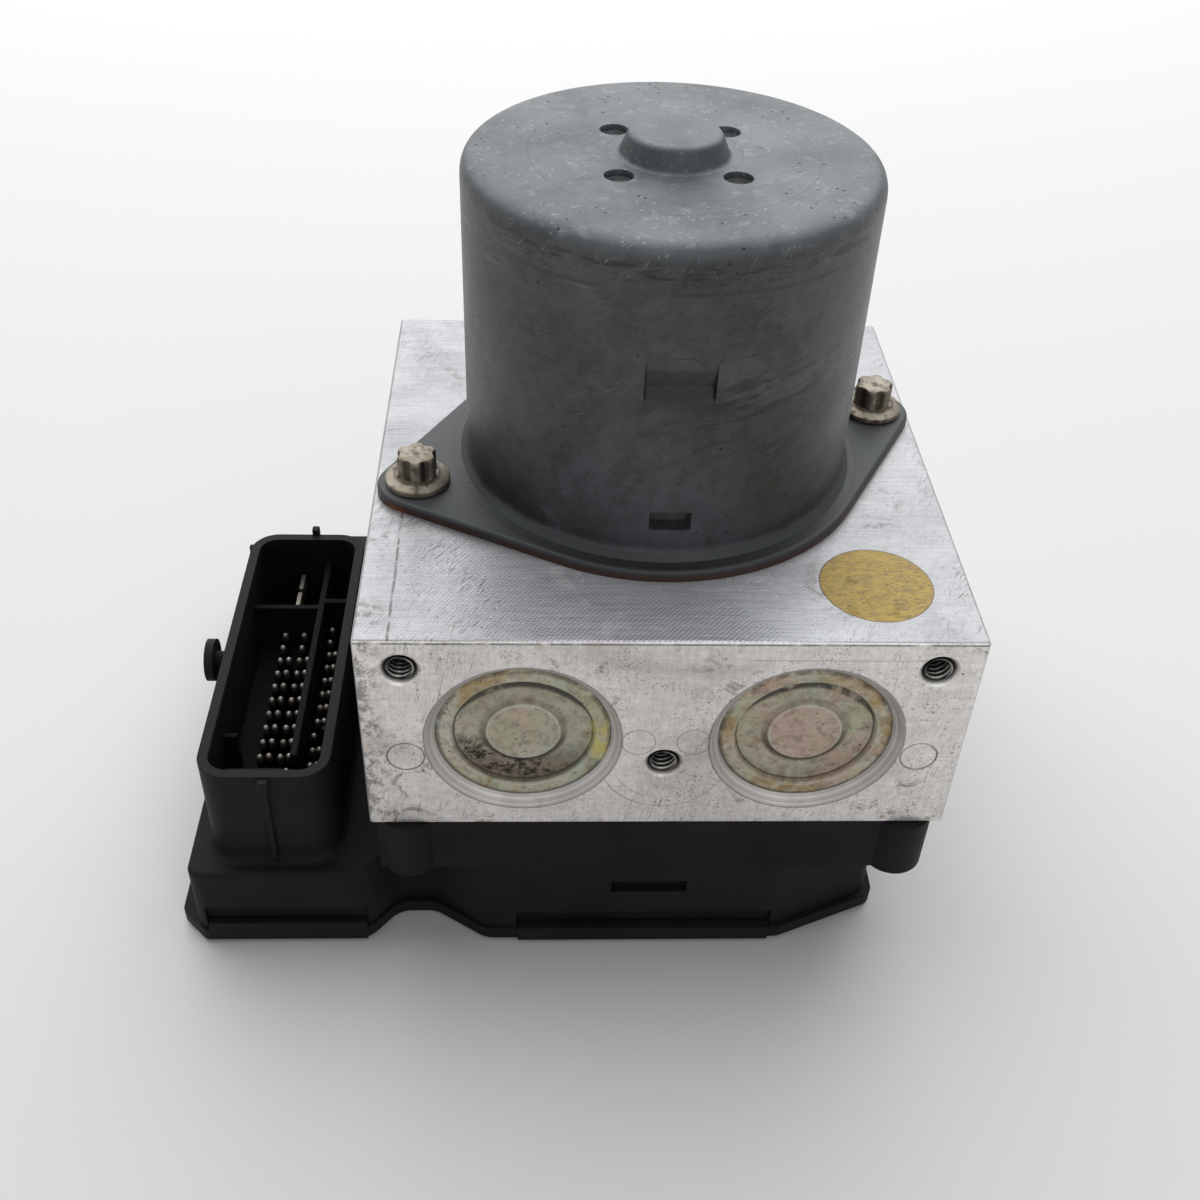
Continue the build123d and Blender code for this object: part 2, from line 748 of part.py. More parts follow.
# ---- accumulators -------------------------------------------------------------------------------
cap_rim = block_front + accumulator_lip_depth - 0.2
cap_back = block_front + accumulator_seat
cap_well = cap_back - 1.5
piston_head = block_front + accumulator_depth - 0.4
piston_skirt = piston_head - accumulator_piston_length
piston_well = piston_head - 3.0
piston_inner = accumulator_bore - 2.4
for name, side in SIDES.items():
    axis = Axis((side * accumulator_x, 0, accumulator_level), (0, 1, 0))
    section = Plane((side * accumulator_x, 0, accumulator_level))  # local x = radius, y = Y
    with BuildPart() as accumulator_cap:
        with BuildSketch(section):
            outline_of(
                (0, cap_rim + 0.7),
                (cap_disc_radius, cap_rim + 0.7),
                (cap_disc_radius + 0.2, cap_rim + 1.3),
                (cap_rim_inner - 0.3, cap_rim + 1.3),
                (cap_rim_inner, cap_rim),
                (cap_radius - press_gap, cap_rim),
                (cap_radius - press_gap, cap_back),
                (piston_inner, cap_back),
                (piston_inner, cap_well),
                (0, cap_well),
            )
        revolve(axis=axis)
    accumulator_cap.part.label = f"accumulator_cap_{name}"
    export_step(accumulator_cap.part, f"parts/accumulator_cap_{name}.step")

    with BuildPart() as accumulator_piston:
        with BuildSketch(section):
            outline_of(
                (0, piston_well),
                (piston_inner, piston_well),
                (piston_inner, piston_skirt),
                (accumulator_bore - slide_gap, piston_skirt),
                (accumulator_bore - slide_gap, piston_head - 5.5),
                (accumulator_bore - 1.3, piston_head - 5.5),
                (accumulator_bore - 1.3, piston_head - 3.2),
                (accumulator_bore - slide_gap, piston_head - 3.2),
                (accumulator_bore - slide_gap, piston_head),
                (0, piston_head),
            )
        revolve(axis=axis)
    accumulator_piston.part.label = f"accumulator_piston_{name}"
    export_step(accumulator_piston.part, f"parts/accumulator_piston_{name}.step")

    with BuildPart() as accumulator_spring:
        spring_room = piston_well - cap_well - accumulator_wire
        with BuildLine() as coil_line:
            Helix(
                spring_room / accumulator_turns,
                spring_room,
                piston_inner - 0.4 - accumulator_wire / 2,
                center=(side * accumulator_x, cap_well + accumulator_wire / 2, accumulator_level),
                direction=(0, 1, 0),
            )
        with BuildSketch(Plane(coil_line.line @ 0, z_dir=coil_line.line % 0)):
            RegularPolygon(accumulator_wire / 2, 4)
        sweep(path=coil_line.line, is_frenet=True)
    accumulator_spring.part.label = f"accumulator_spring_{name}"
    export_step(accumulator_spring.part, f"parts/accumulator_spring_{name}.step")

with BuildPart() as ball_plugs:
    for side in SIDES.values():
        mouth = (side * ball_plug_x, block_front, block_bottom + ball_plug_level)
        plug_end = Plane(mouth, x_dir=(1, 0, 0), z_dir=(0, 1, 0))
        with BuildSketch(plug_end.offset(0.05)):
            Circle(ball_plug_radius - press_gap)
        extrude(amount=ball_plug_length - 0.1)
ball_plugs.part.label = "ball_plugs"
export_step(ball_plugs.part, "parts/ball_plugs.step")

# ---- valves -------------------------------------------------------------------------------------
tube_bottom = block_bottom - tube_length
seat_level = block_bottom + valve_depth - 8.0
for row, (kind, y) in enumerate(valve_rows.items()):
    for column, x in enumerate(valve_xs):
        number = row * len(valve_xs) + column + 1
        valve_axis = Axis((x, y, 0), (0, 0, 1))
        valve_section = Plane((x, y, 0), x_dir=(1, 0, 0), z_dir=(0, -1, 0))
        with BuildPart() as valve_body:
            with BuildSketch(valve_section):
                outline_of(
                    (0, tube_bottom),
                    (tube_radius, tube_bottom),
                    (tube_radius, block_bottom),
                    (valve_flange_radius, block_bottom),
                    (valve_flange_radius, block_bottom + valve_flange_height),
                    (valve_radius, block_bottom + valve_flange_height),
                    (valve_radius, block_bottom + valve_depth),
                    (needle_radius + 0.2, block_bottom + valve_depth),
                    (needle_radius + 0.2, seat_level),
                    (tube_radius - tube_wall, seat_level),
                    (tube_radius - tube_wall, tube_bottom + 1.2),
                    (0, tube_bottom + 1.2),
                )
            revolve(axis=valve_axis)
        valve_body.part.label = f"{kind}_valve_{column + 1}"
        export_step(valve_body.part, f"parts/{kind}_valve_{column + 1}.step")

        # the needle of an inlet valve rests open, that of an outlet valve rests on its seat
        needle_tip = seat_level - slide_gap - (valve_travel if kind == "inlet" else 0)
        plunger_bottom = tube_bottom + 1.2 + valve_travel + 0.2
        with BuildPart() as plunger:
            with BuildSketch(Plane((x, y, plunger_bottom))):
                Circle(tube_radius - tube_wall - slide_gap)
            extrude(amount=plunger_length)
            with BuildSketch(Plane((x, y, plunger_bottom + plunger_length))):
                Circle(needle_radius)
            extrude(amount=needle_tip - plunger_bottom - plunger_length)
        plunger.part.label = f"{kind}_plunger_{column + 1}"
        export_step(plunger.part, f"parts/{kind}_plunger_{column + 1}.step")

        with BuildPart() as coil:
            with BuildSketch(Plane((x, y, plate_top))):
                Circle(coil_radius)
                Circle(tube_radius + 0.2, mode=Mode.SUBTRACT)
            extrude(amount=coil_length)
            with BuildSketch(Plane((x, y, plate_top))):
                with Locations((-4.5, 0), (4.5, 0)):
                    Rectangle(0.8, 0.8)
            extrude(amount=board_top - plate_top)
        coil.part.label = f"{kind}_coil_{column + 1}"
        export_step(coil.part, f"parts/{kind}_coil_{column + 1}.step")

# ---- control unit -------------------------------------------------------------------------------
chamfer_lean = chamfer_run_y / (cover_right - chamfer_start_x)
wall_right = cover_right - wall_inset
wall_set_back = wall_inset * sqrt(1 + chamfer_lean**2)  # chamfered wall behind the rim, along Y
wall_start_x = chamfer_start_x + (cover_front - main_front - wall_set_back) / chamfer_lean
wall_end_y = cover_front - wall_set_back - chamfer_lean * (wall_right - chamfer_start_x)
scallop_y = cover_front - scallop_depth
rim_side = [  # x, y and corner radius along the front, from right to left
    (cover_right, -chamfer_end_y, 3),
    (chamfer_start_x, -cover_front, 4),
    (scallop_x + 13.5, -cover_front, 5),
    (scallop_x + 3.5, -scallop_y, 5),
    (scallop_x - 3.5, -scallop_y, 5),
    (scallop_x - 9.0, -cover_front, 5),
    (cover_left + cover_corner, -cover_front, 2),
    (cover_left, -cover_front + cover_corner, 2),
]
wall_side = [
    (wall_right, -wall_end_y, 3),
    (wall_start_x, -main_front, 4),
    (scallop_x + 13.5, -main_front, 5),
    (scallop_x + 3.5, wall_inset - scallop_y, 5),
    (scallop_x - 3.5, wall_inset - scallop_y, 5),
    (scallop_x - 9.0, -main_front, 5),
    (wing_left, -main_front, wing_corner),
]


def side_outline(side, height, inset, left, right):
    """Outline with the given front and its mirror at the back, drawn in and cut to a stretch."""
    corners = side + [(x, -y, radius) for x, y, radius in reversed(side)]
    with BuildSketch(Plane.XY.offset(height)) as outline:
        with BuildLine():
            FilletPolyline(
                *[(x, y) for x, y, _ in corners], radius=[radius for _, _, radius in corners], close=True
            )
        make_face()
        if inset:
            offset(amount=-inset)
        with Locations(((left + right) / 2, 0)):
            Rectangle(right - left, 2 * cover_front + 2, mode=Mode.INTERSECT)
    return outline.sketch


def rim_outline(height, inset=0.0):
    """Outline of the cover's rim at a height, drawn in by inset."""
    return side_outline(rim_side, height, inset, cover_left - 1, cover_right + 1)


def wall_outline(height, inset=0.0, left=wing_left - 1, right=wall_right + 1):
    """Outline of the housing's wall at a height, drawn in and cut to the stretch from left to right."""
    return side_outline(wall_side, height, inset, left, right)


def socket_outline(height, inset=0.0):
    """Outline of the plug socket's shell."""
    with BuildSketch(Plane.XY.offset(height)) as outline:
        with Locations(((socket_left + socket_right) / 2, (socket_front + socket_back) / 2)):
            RectangleRounded(
                socket_right - socket_left - 2 * inset,
                socket_back - socket_front - 2 * inset,
                socket_corner - inset,
            )
    return outline.sketch


def pin_field(height, size):
    """Squares of all signal pins at a height."""
    with BuildSketch(Plane.XY.offset(height)) as field:
        for (x, y), count in zip(pin_starts, pin_counts):
            with Locations(*[(x, y - pin_pitch * row) for row in range(count)]):
                Rectangle(size, size)
    return field.sketch


def seal_loop(height, inset=0.0, width=0.0):
    """Face inside the seal's loop, which passes inside the corner screws, or its edge of a width."""
    with BuildSketch(Plane.XY.offset(height)) as loop:
        with Locations(((main_left + main_right) / 2, 0)):
            Rectangle(main_right - main_left - 2 * seal_edge, 2 * (main_front - seal_edge))
        chamfer(loop.vertices(), seal_corner)
        if inset:
            offset(amount=-inset, kind=Kind.INTERSECTION)
        if width:
            offset(amount=-width, kind=Kind.INTERSECTION, mode=Mode.SUBTRACT)
    return loop.sketch


def blade_field(height):
    """Rectangles of the power blades at a height."""
    with BuildSketch(Plane.XY.offset(height)) as field:
        with Locations(*[(blade_x, y + blade_width / 2) for y in blade_ys]):
            Rectangle(blade_thickness, blade_width)
    return field.sketch


with BuildPart() as ecu_housing:
    extrude(wall_outline(cover_rim), amount=wing_top - cover_rim)
    fillet(ecu_housing.faces().sort_by(Axis.Z)[-1].edges(), 1.0)
    extrude(
        wall_outline(cover_rim, left=main_left),
        amount=boss_bottom - cover_rim,
    )
    with BuildSketch(Plane.XY.offset(boss_bottom)):
        with Locations(((main_left + main_right) / 2, 0)):
            Rectangle(main_right - main_left, 2 * main_front)
        with Locations(*screw_places):
            Circle(boss_radius)
    extrude(amount=block_bottom - boss_bottom)
    # coil chamber, open to the block, and board chamber, open to the cover
    extrude(
        wall_outline(plate_top, wall, left=main_left + main_wall),
        amount=boss_bottom + 2 - plate_top,
        mode=Mode.SUBTRACT,
    )
    extrude(
        seal_loop(boss_bottom + 2, seal_edge + seal_width),
        amount=block_bottom - boss_bottom - 2,
        mode=Mode.SUBTRACT,
    )
    extrude(wall_outline(cover_rim, wall), amount=plate_bottom - cover_rim, mode=Mode.SUBTRACT)
    extrude(
        wall_outline(plate_bottom, wall, right=main_left - 3),
        amount=wing_inner_top - plate_bottom,
        mode=Mode.SUBTRACT,
    )
    # board posts
    for x, top in zip(post_xs, (wing_inner_top, plate_top, plate_top)):
        with BuildSketch(Plane.XY.offset(board_top)):
            with Locations((x, -post_y), (x, post_y)):
                Circle(post_radius)
        extrude(amount=top - board_top)
    # screws, seal groove, coil leads, contact rod
    with BuildSketch(Plane.XY.offset(boss_bottom)):
        with Locations(*screw_places):
            Circle(screw_radius + 0.35)
    extrude(amount=block_bottom - boss_bottom, mode=Mode.SUBTRACT)
    extrude(seal_loop(block_bottom - seal_depth, 0, seal_width), amount=seal_depth, mode=Mode.SUBTRACT)
    with BuildSketch(Plane.XY.offset(plate_bottom)):
        with Locations(*[(x + dx, y) for x, y in valve_places for dx in (-4.5, 4.5)]):
            Rectangle(1.4, 1.4)
        with Locations((0, contact_y)):
            Circle(contact_radius + 0.2)
    extrude(amount=plate_top - plate_bottom, mode=Mode.SUBTRACT)
    # front: closed slot, shelves over the cover's lips
    with BuildSketch(Plane.XZ.offset(main_front + 2)):
        with Locations(((slot_left + slot_right) / 2, plate_top + 1.4)):
            Rectangle(slot_right - slot_left, 3.1)
    extrude(amount=-3.8, mode=Mode.SUBTRACT)
    for lip_left, lip_right, _, _, shelf_top in lips:
        with BuildSketch(Plane.XZ.offset(main_front + 2)):
            with Locations(((lip_left + lip_right) / 2, (cover_rim + shelf_top) / 2)):
                Rectangle(lip_right - lip_left + 0.6, shelf_top - cover_rim)
        extrude(amount=-shelf_depth - 2, mode=Mode.SUBTRACT)
    # plug socket: flared foot, shell, inner walls
    extrude(socket_outline(wing_top - 1), amount=socket_rim - wing_top + 1)
    extrude(socket_outline(socket_floor, socket_wall), amount=socket_rim - socket_floor, mode=Mode.SUBTRACT)
    inner_left = socket_left + socket_wall
    inner_right = socket_right - socket_wall
    inner_back = socket_back - socket_wall
    divider_left = divider_x - divider_thickness / 2
    divider_right = divider_x + divider_thickness / 2
    right_wall_y = cross_wall_y + 2
    inner_walls = [  # x from, x to, y from, y to, top
        (divider_left, divider_right, divider_front, cross_wall_y, divider_top),
        (divider_left, divider_right, cross_wall_y, inner_back, divider_top),
        (inner_left, divider_x, cross_wall_y, cross_wall_y + divider_thickness, divider_top),
        (divider_x, inner_right, right_wall_y, right_wall_y + divider_thickness, divider_top),
        (inner_left + 1.3, divider_x - 2, front_ledge_y, front_ledge_y + 1.0, divider_top - 2),
        (inner_left, inner_left + 2.6, -32.3, -31.3, divider_top),
        (inner_right - 1.9, inner_right, -30.4, -29.4, divider_top),
    ]
    for x_from, x_to, y_from, y_to, top in inner_walls:
        with BuildSketch(Plane.XY.offset(socket_floor - 0.5)):
            with Locations(((x_from + x_to) / 2, (y_from + y_to) / 2)):
                Rectangle(x_to - x_from, y_to - y_from)
        extrude(amount=top - socket_floor + 0.5)
    # ribs outside the shell and the stud that the plug's lever turns on
    rib_x = socket_right - 11.4
    with BuildSketch(Plane.XY.offset(wing_top)):
        with Locations((rib_x, socket_front), (rib_x + 0.7, socket_back)):
            Rectangle(1.0, 1.8)
    extrude(amount=socket_rim - wing_top - 0.6)
    for reach, radius, start in (
        (stud_reach + 1, stud_radius, 1.0),
        (stud_head_thickness, stud_head_radius, -stud_reach),
    ):
        with BuildSketch(
            Plane((socket_left + start, stud_y, stud_level), x_dir=(0, -1, 0), z_dir=(-1, 0, 0))
        ):
            Circle(radius)
        extrude(amount=reach)
    # moulded-in contacts
    extrude(pin_field(wing_inner_top, pin_size), amount=socket_floor - wing_inner_top, mode=Mode.SUBTRACT)
    extrude(blade_field(wing_inner_top), amount=socket_floor - wing_inner_top, mode=Mode.SUBTRACT)
ecu_housing.part.label = "ecu_housing"
export_step(ecu_housing.part, "parts/ecu_housing.step")

with BuildPart() as ecu_cover:
    extrude(rim_outline(0), amount=cover_rim)
    for lip_left, lip_right, reach, lip_top, _ in lips:
        lip_back = main_front - lip_depth
        lip_front = cover_front + reach
        with BuildSketch(Plane.XY):
            with Locations(((lip_left + lip_right) / 2, -(lip_back + lip_front) / 2)):
                Rectangle(lip_right - lip_left, lip_front - lip_back)
        extrude(amount=lip_top)
    chamfer(ecu_cover.faces().sort_by(Axis.Z)[0].edges(), 0.7)
    extrude(wall_outline(cover_rim, wall + 0.15), amount=1.6)
    extrude(wall_outline(cover_floor, wall + 1.6), amount=cover_rim + 2, mode=Mode.SUBTRACT)
ecu_cover.part.label = "ecu_cover"
export_step(ecu_cover.part, "parts/ecu_cover.step")

with BuildPart() as circuit_board:
    extrude(wall_outline(board_level, wall + 1.8), amount=board_thickness)
    # soldered parts on the underside
    with BuildSketch(Plane.XY.offset(board_level)):
        with Locations((-20, -18)):
            Rectangle(22, 22)
        with Locations((18, -20)):
            Rectangle(14, 10)
        with Locations(*[(x, 6) for x in (-36, -18, 0, 18)]):
            Rectangle(10, 8)
    extrude(amount=-2.0)
circuit_board.part.label = "circuit_board"
export_step(circuit_board.part, "parts/circuit_board.step")

with BuildPart() as signal_pins:
    extrude(pin_field(board_top, pin_size), amount=pin_tip - pin_taper - board_top)
    extrude(pin_field(pin_tip - pin_taper, pin_size), amount=pin_taper, taper=17)
signal_pins.part.label = "signal_pins"
export_step(signal_pins.part, "parts/signal_pins.step")

with BuildPart() as power_blades:
    extrude(blade_field(board_top), amount=blade_tip - board_top)
power_blades.part.label = "power_blades"
export_step(power_blades.part, "parts/power_blades.step")

with BuildPart() as ecu_seal:
    extrude(
        seal_loop(block_bottom - seal_depth, slide_gap, seal_width - 2 * slide_gap), amount=seal_depth
    )
ecu_seal.part.label = "ecu_seal"
export_step(ecu_seal.part, "parts/ecu_seal.step")

with BuildPart() as ecu_screws:
    with BuildSketch(Plane.XY.offset(boss_bottom)):
        with Locations(*screw_places):
            Circle(screw_radius)
    extrude(amount=block_bottom - boss_bottom + screw_depth)
    with BuildSketch(Plane.XY.offset(boss_bottom)):
        with Locations(*screw_places):
            Circle(screw_head_radius)
            RegularPolygon(1.4, 6, mode=Mode.SUBTRACT)
    extrude(amount=-screw_head_height)
    with BuildSketch(Plane.XY.offset(boss_bottom)):
        with Locations(*screw_places):
            RegularPolygon(1.4, 6)
    extrude(amount=-0.8)
ecu_screws.part.label = "ecu_screws"
export_step(ecu_screws.part, "parts/ecu_screws.step")
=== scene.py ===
import math
import bmesh
import bpy
import numpy as np
from mathutils import Matrix


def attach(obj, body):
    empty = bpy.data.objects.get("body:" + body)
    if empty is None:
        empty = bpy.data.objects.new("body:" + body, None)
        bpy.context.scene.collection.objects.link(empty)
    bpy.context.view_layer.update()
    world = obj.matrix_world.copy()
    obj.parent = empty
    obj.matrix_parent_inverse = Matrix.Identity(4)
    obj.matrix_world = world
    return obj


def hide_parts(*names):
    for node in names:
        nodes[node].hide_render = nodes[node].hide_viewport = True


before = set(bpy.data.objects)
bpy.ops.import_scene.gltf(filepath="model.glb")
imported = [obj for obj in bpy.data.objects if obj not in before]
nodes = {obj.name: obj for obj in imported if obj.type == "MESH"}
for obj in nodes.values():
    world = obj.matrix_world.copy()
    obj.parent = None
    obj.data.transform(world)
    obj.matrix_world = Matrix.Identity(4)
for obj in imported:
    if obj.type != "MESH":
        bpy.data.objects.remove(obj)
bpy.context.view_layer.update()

mm = 0.001
print("frame loaded:", len(nodes), "nodes")

# the camera comes first: its place in metres, its sight line, the turn about it and the lens
cameraLook = {
    "place": (-0.022178, -0.217409, 0.224173),
    "sight": (0.04618534, 0.76623089, -0.64090337),
    "roll": math.radians(2.509),
    "lens": 41.61,
    "sensor": 36.0,
    "nearest": 0.01,
}


def added(name, data):
    # a new object in the scene
    made = bpy.data.objects.new(name, data)
    bpy.context.scene.collection.objects.link(made)
    return made


def turnedTo(right, up, back, place):
    # the matrix of a thing whose own axes point right, up and back
    turn = Matrix((tuple(right), tuple(up), tuple(back))).transposed().to_4x4()
    return Matrix.Translation(place) @ turn


def makeCamera(look):
    sight = np.array(look["sight"]) / np.linalg.norm(look["sight"])
    level = np.cross(sight, (0, 0, 1))
    level /= np.linalg.norm(level)
    upright = np.cross(level, sight)
    right = level * math.cos(look["roll"]) + upright * math.sin(look["roll"])
    up = upright * math.cos(look["roll"]) - level * math.sin(look["roll"])
    lensData = bpy.data.cameras.new("camera")
    lensData.lens = look["lens"]
    lensData.sensor_width = look["sensor"]
    lensData.sensor_fit = "HORIZONTAL"
    lensData.clip_start = look["nearest"]
    camera = added("camera", lensData)
    camera.matrix_world = turnedTo(right, up, -sight, look["place"])
    bpy.context.scene.camera = camera


makeCamera(cameraLook)


def operation(name, turned=False):
    # a way of a flow that adds one Math node; turned where the flow comes last
    def act(flow, *others):
        values = (*others, flow) if turned else (flow, *others)
        return flow.finish.add("ShaderNodeMath", {"operation": name}, dict(enumerate(values)))
    return act


# a number or colour running between shader nodes; arithmetic on it adds Math nodes
class Flow:
    def __init__(self, finish, socket):
        self.finish = finish
        self.socket = socket

    __add__ = __radd__ = operation("ADD")
    __sub__, __rsub__ = operation("SUBTRACT"), operation("SUBTRACT", True)
    __mul__ = __rmul__ = operation("MULTIPLY")
    __truediv__, __pow__, __abs__ = operation("DIVIDE"), operation("POWER"), operation("ABSOLUTE")
    most, least, sine = operation("MAXIMUM"), operation("MINIMUM"), operation("SINE")
    angleFrom = operation("ARCTAN2")

    # 0 below low, 1 above high, eased between; a name stands for the numbers in the look
    def rise(self, low, high=None):
        low, high = self.finish.look[low] if high is None else (low, high)
        values = {"Value": self, "From Min": low, "From Max": high}
        return self.finish.add("ShaderNodeMapRange", {"interpolation_type": "SMOOTHSTEP"}, values)

    # 1 below low, 0 above high, eased between
    def fall(self, low, high=None):
        return 1 - self.rise(low, high)

    # 1 within half a width of the middle, 0 outside, soft over the given edge
    def band(self, middle, width=None, edge=None):
        if width is None:
            middle, width, edge = self.finish.look[middle]
        return abs(self - middle).fall(width / 2 - edge / 2, width / 2 + edge / 2)

    # swings between 0 and 1, once for every 2 pi
    def wave(self):
        return self.sine() * 0.5 + 0.5


# one material: its nodes, the ways to add more, and the colour laid up so far
class Finish:
    def __init__(self, name, look=None, **plain):
        self.look = look or {}
        self.material = bpy.data.materials.new(name)
        self.material.use_nodes = True
        self.tree = self.material.node_tree
        self.tree.nodes.clear()
        output = self.tree.nodes.new("ShaderNodeOutputMaterial")
        self.shader = self.tree.nodes.new("ShaderNodeBsdfPrincipled")
        self.tree.links.new(self.shader.outputs[0], output.inputs[0])
        self.place = self.add("ShaderNodeTexCoord", output="Object")
        split = self.add("ShaderNodeSeparateXYZ", values={0: self.place})
        self.x, self.y, self.z = (Flow(self, part) for part in split.socket.node.outputs)
        self.tone = None
        self.set(**plain)

    def add(self, kind, settings=None, values=None, output=0):
        made = self.tree.nodes.new(kind)
        for key, value in (settings or {}).items():
            setattr(made, key, value)
        for key, value in (values or {}).items():
            if isinstance(value, Flow):
                self.tree.links.new(value.socket, made.inputs[key])
            else:
                made.inputs[key].default_value = value
        return Flow(self, made.outputs[output])

    # a colour by its name in the look, as three numbers, or as a flow
    def colour(self, value):
        value = self.look[value] if isinstance(value, str) else value
        return (*value, 1) if isinstance(value, tuple) else value

    # socket names are written with an underscore for the space
    def set(self, **values):
        for key, value in values.items():
            socket = self.shader.inputs[key.replace("_", " ")]
            if isinstance(value, Flow):
                self.tree.links.new(value.socket, socket)
            else:
                socket.default_value = value

    # place stretched along each axis, for lines and streaks
    def stretched(self, x, y, z):
        return self.add("ShaderNodeMapping", values={"Vector": self.place, "Scale": (x, y, z)})

    def noise(self, scale, detail=3.0, rough=0.55, at=None, warp=0.0):
        values = {"Vector": at or self.place, "Scale": scale, "Detail": detail}
        values.update({"Roughness": rough, "Distortion": warp})
        return self.add("ShaderNodeTexNoise", values=values)

    def vector(self, x, y, z):
        return self.add("ShaderNodeCombineXYZ", values={0: x, 1: y, 2: z})

    # colour a where amount is 0, colour b where it is 1
    def mix(self, amount, a, b):
        values = {0: amount, 6: self.colour(a), 7: self.colour(b)}
        return self.add("ShaderNodeMix", {"data_type": "RGBA"}, values, 2)

    # lays a colour over the tone, as far as the amount goes
    def coat(self, amount, colour):
        self.tone = self.mix(amount, self.tone, colour)

    # tone, roughness and a bump from a height in metres, with edges drawn round by a radius
    def finished(self, rough, height, edge=0.0):
        values = {"Height": height, "Distance": 1.0, "Strength": 1.0}
        if edge:
            values["Normal"] = self.add("ShaderNodeBevel", {"samples": 6}, {"Radius": edge})
        bump = self.add("ShaderNodeBump", values=values)
        self.set(Base_Color=self.tone, Roughness=rough, Normal=bump)
        return self.material


def around(finish, place):
    # distance from an upright axis, its place in millimetres
    east, north = place
    return ((finish.x - east * mm) ** 2 + (finish.y - north * mm) ** 2) ** 0.5


def onFace(finish, place):
    # distance from an axis that runs along Y, its place in millimetres
    east, height = place
    return ((finish.x - east * mm) ** 2 + (finish.z - height * mm) ** 2) ** 0.5


def scratches(finish, u, v, name):
    # noise drawn out along a leaning direction; only its peaks stay, as thin broken strokes
    lean, length, width, share = finish.look[name]
    along = u * math.cos(lean) + v * math.sin(lean)
    across = v * math.cos(lean) - u * math.sin(lean)
    strokes = finish.noise(1.0, 3, 0.6, finish.vector(along / length, across / width, lean * 7.0))
    return strokes.rise(share, share + 0.05)


def specks(finish, scale, size, where):
    # small round spots, one in each cell of a scattered pattern, kept where the mask is
    cells = finish.add("ShaderNodeTexVoronoi", values={"Vector": finish.place, "Scale": scale})
    return cells.fall(size * 0.5, size) * where


# millimetres, as in the shapes of the pieces below; the finishes measure in metres
blockTop, faceY, motorY, canRadius = 77.4, -52.4, 1.9, 35.0
boltCircle, boltAngle = 45.4, math.radians(16.5)
boltPlaces = [
    (side * boltCircle * math.cos(boltAngle), side * boltCircle * math.sin(boltAngle))
    for side in (1, -1)
]
# on the front face: x and z
capPlaces = {"left": (-24.2, 54.9), "right": (24.2, 54.9)}
threadPlaces = {"left": (-44.1, 71.1), "right": (44.1, 71.1), "centre": (0.0, 49.4)}


canLook = {
    "coolSide": (0.092, 0.1, 0.11),
    "warmSide": (0.093, 0.088, 0.085),
    "sideDark": (0.04, 0.04, 0.042),
    "roof": (0.134, 0.151, 0.157),
    "roofDark": (0.066, 0.076, 0.08),
    "roofPale": (0.27, 0.3, 0.31),
    "ringLine": (0.055, 0.06, 0.062),
    "flange": (0.03, 0.034, 0.036),
    "flangePale": (0.051, 0.0578, 0.0612),
    "dust": (0.4, 0.41, 0.41),
    "paleCut": (0.21, 0.21, 0.21),
    "rubAndShade": (0.016, 0.015, 0.015),
    "slitShade": (0.006, 0.006, 0.006),
    "drag": (0.2, 0.165, 0.145),
    "pit": (0.01, 0.01, 0.01),
    "rust": (0.042, 0.016, 0.009),
    "rustBright": (0.23, 0.066, 0.018),
    # scratches: lean, length, width and the noise level above which they show
    "levelCuts": (0.05, 0.009, 0.00026, 0.6),
    "leaningCuts": (0.55, 0.006, 0.00022, 0.645),
    "steepCuts": (-0.7, 0.005, 0.00022, 0.63),
    "roofCuts": (0.5, 0.0032, 0.00017, 0.66),
    "crossRoofCuts": (-0.7, 0.0024, 0.00017, 0.66),
    "knocks": (0.9, 0.0026, 0.00022, 0.66),
    # press rings on the roof: radius, width, softness
    "outerRing": (0.0239, 0.0003, 0.0003),
    "innerRing": (0.0112, 0.0003, 0.0003),
    "faintRing": (0.0148, 0.0002, 0.0002),
    # heights above the block between which a mask turns
    "roofEdge": (0.0552, 0.058),
    "flangeTop": (0.0028, 0.0036),
    "nubTop": (0.0606, 0.0616),
    "pocketCrease": (0.0344, 0.0347),
    "rustTop": (0.0008, 0.0016),
    # bands round the wall: middle height, width, softness
    "shoulder": (0.0541, 0.0032, 0.002),
    "lowLine": (0.051, 0.0007, 0.0006),
    "knockBand": (0.0547, 0.0042, 0.002),
    "dragBand": (0.0492, 0.006, 0.004),
    "smearBand": (0.03, 0.013, 0.008),
    "slitBand": (0.036, 0.0062, 0.0005),
}


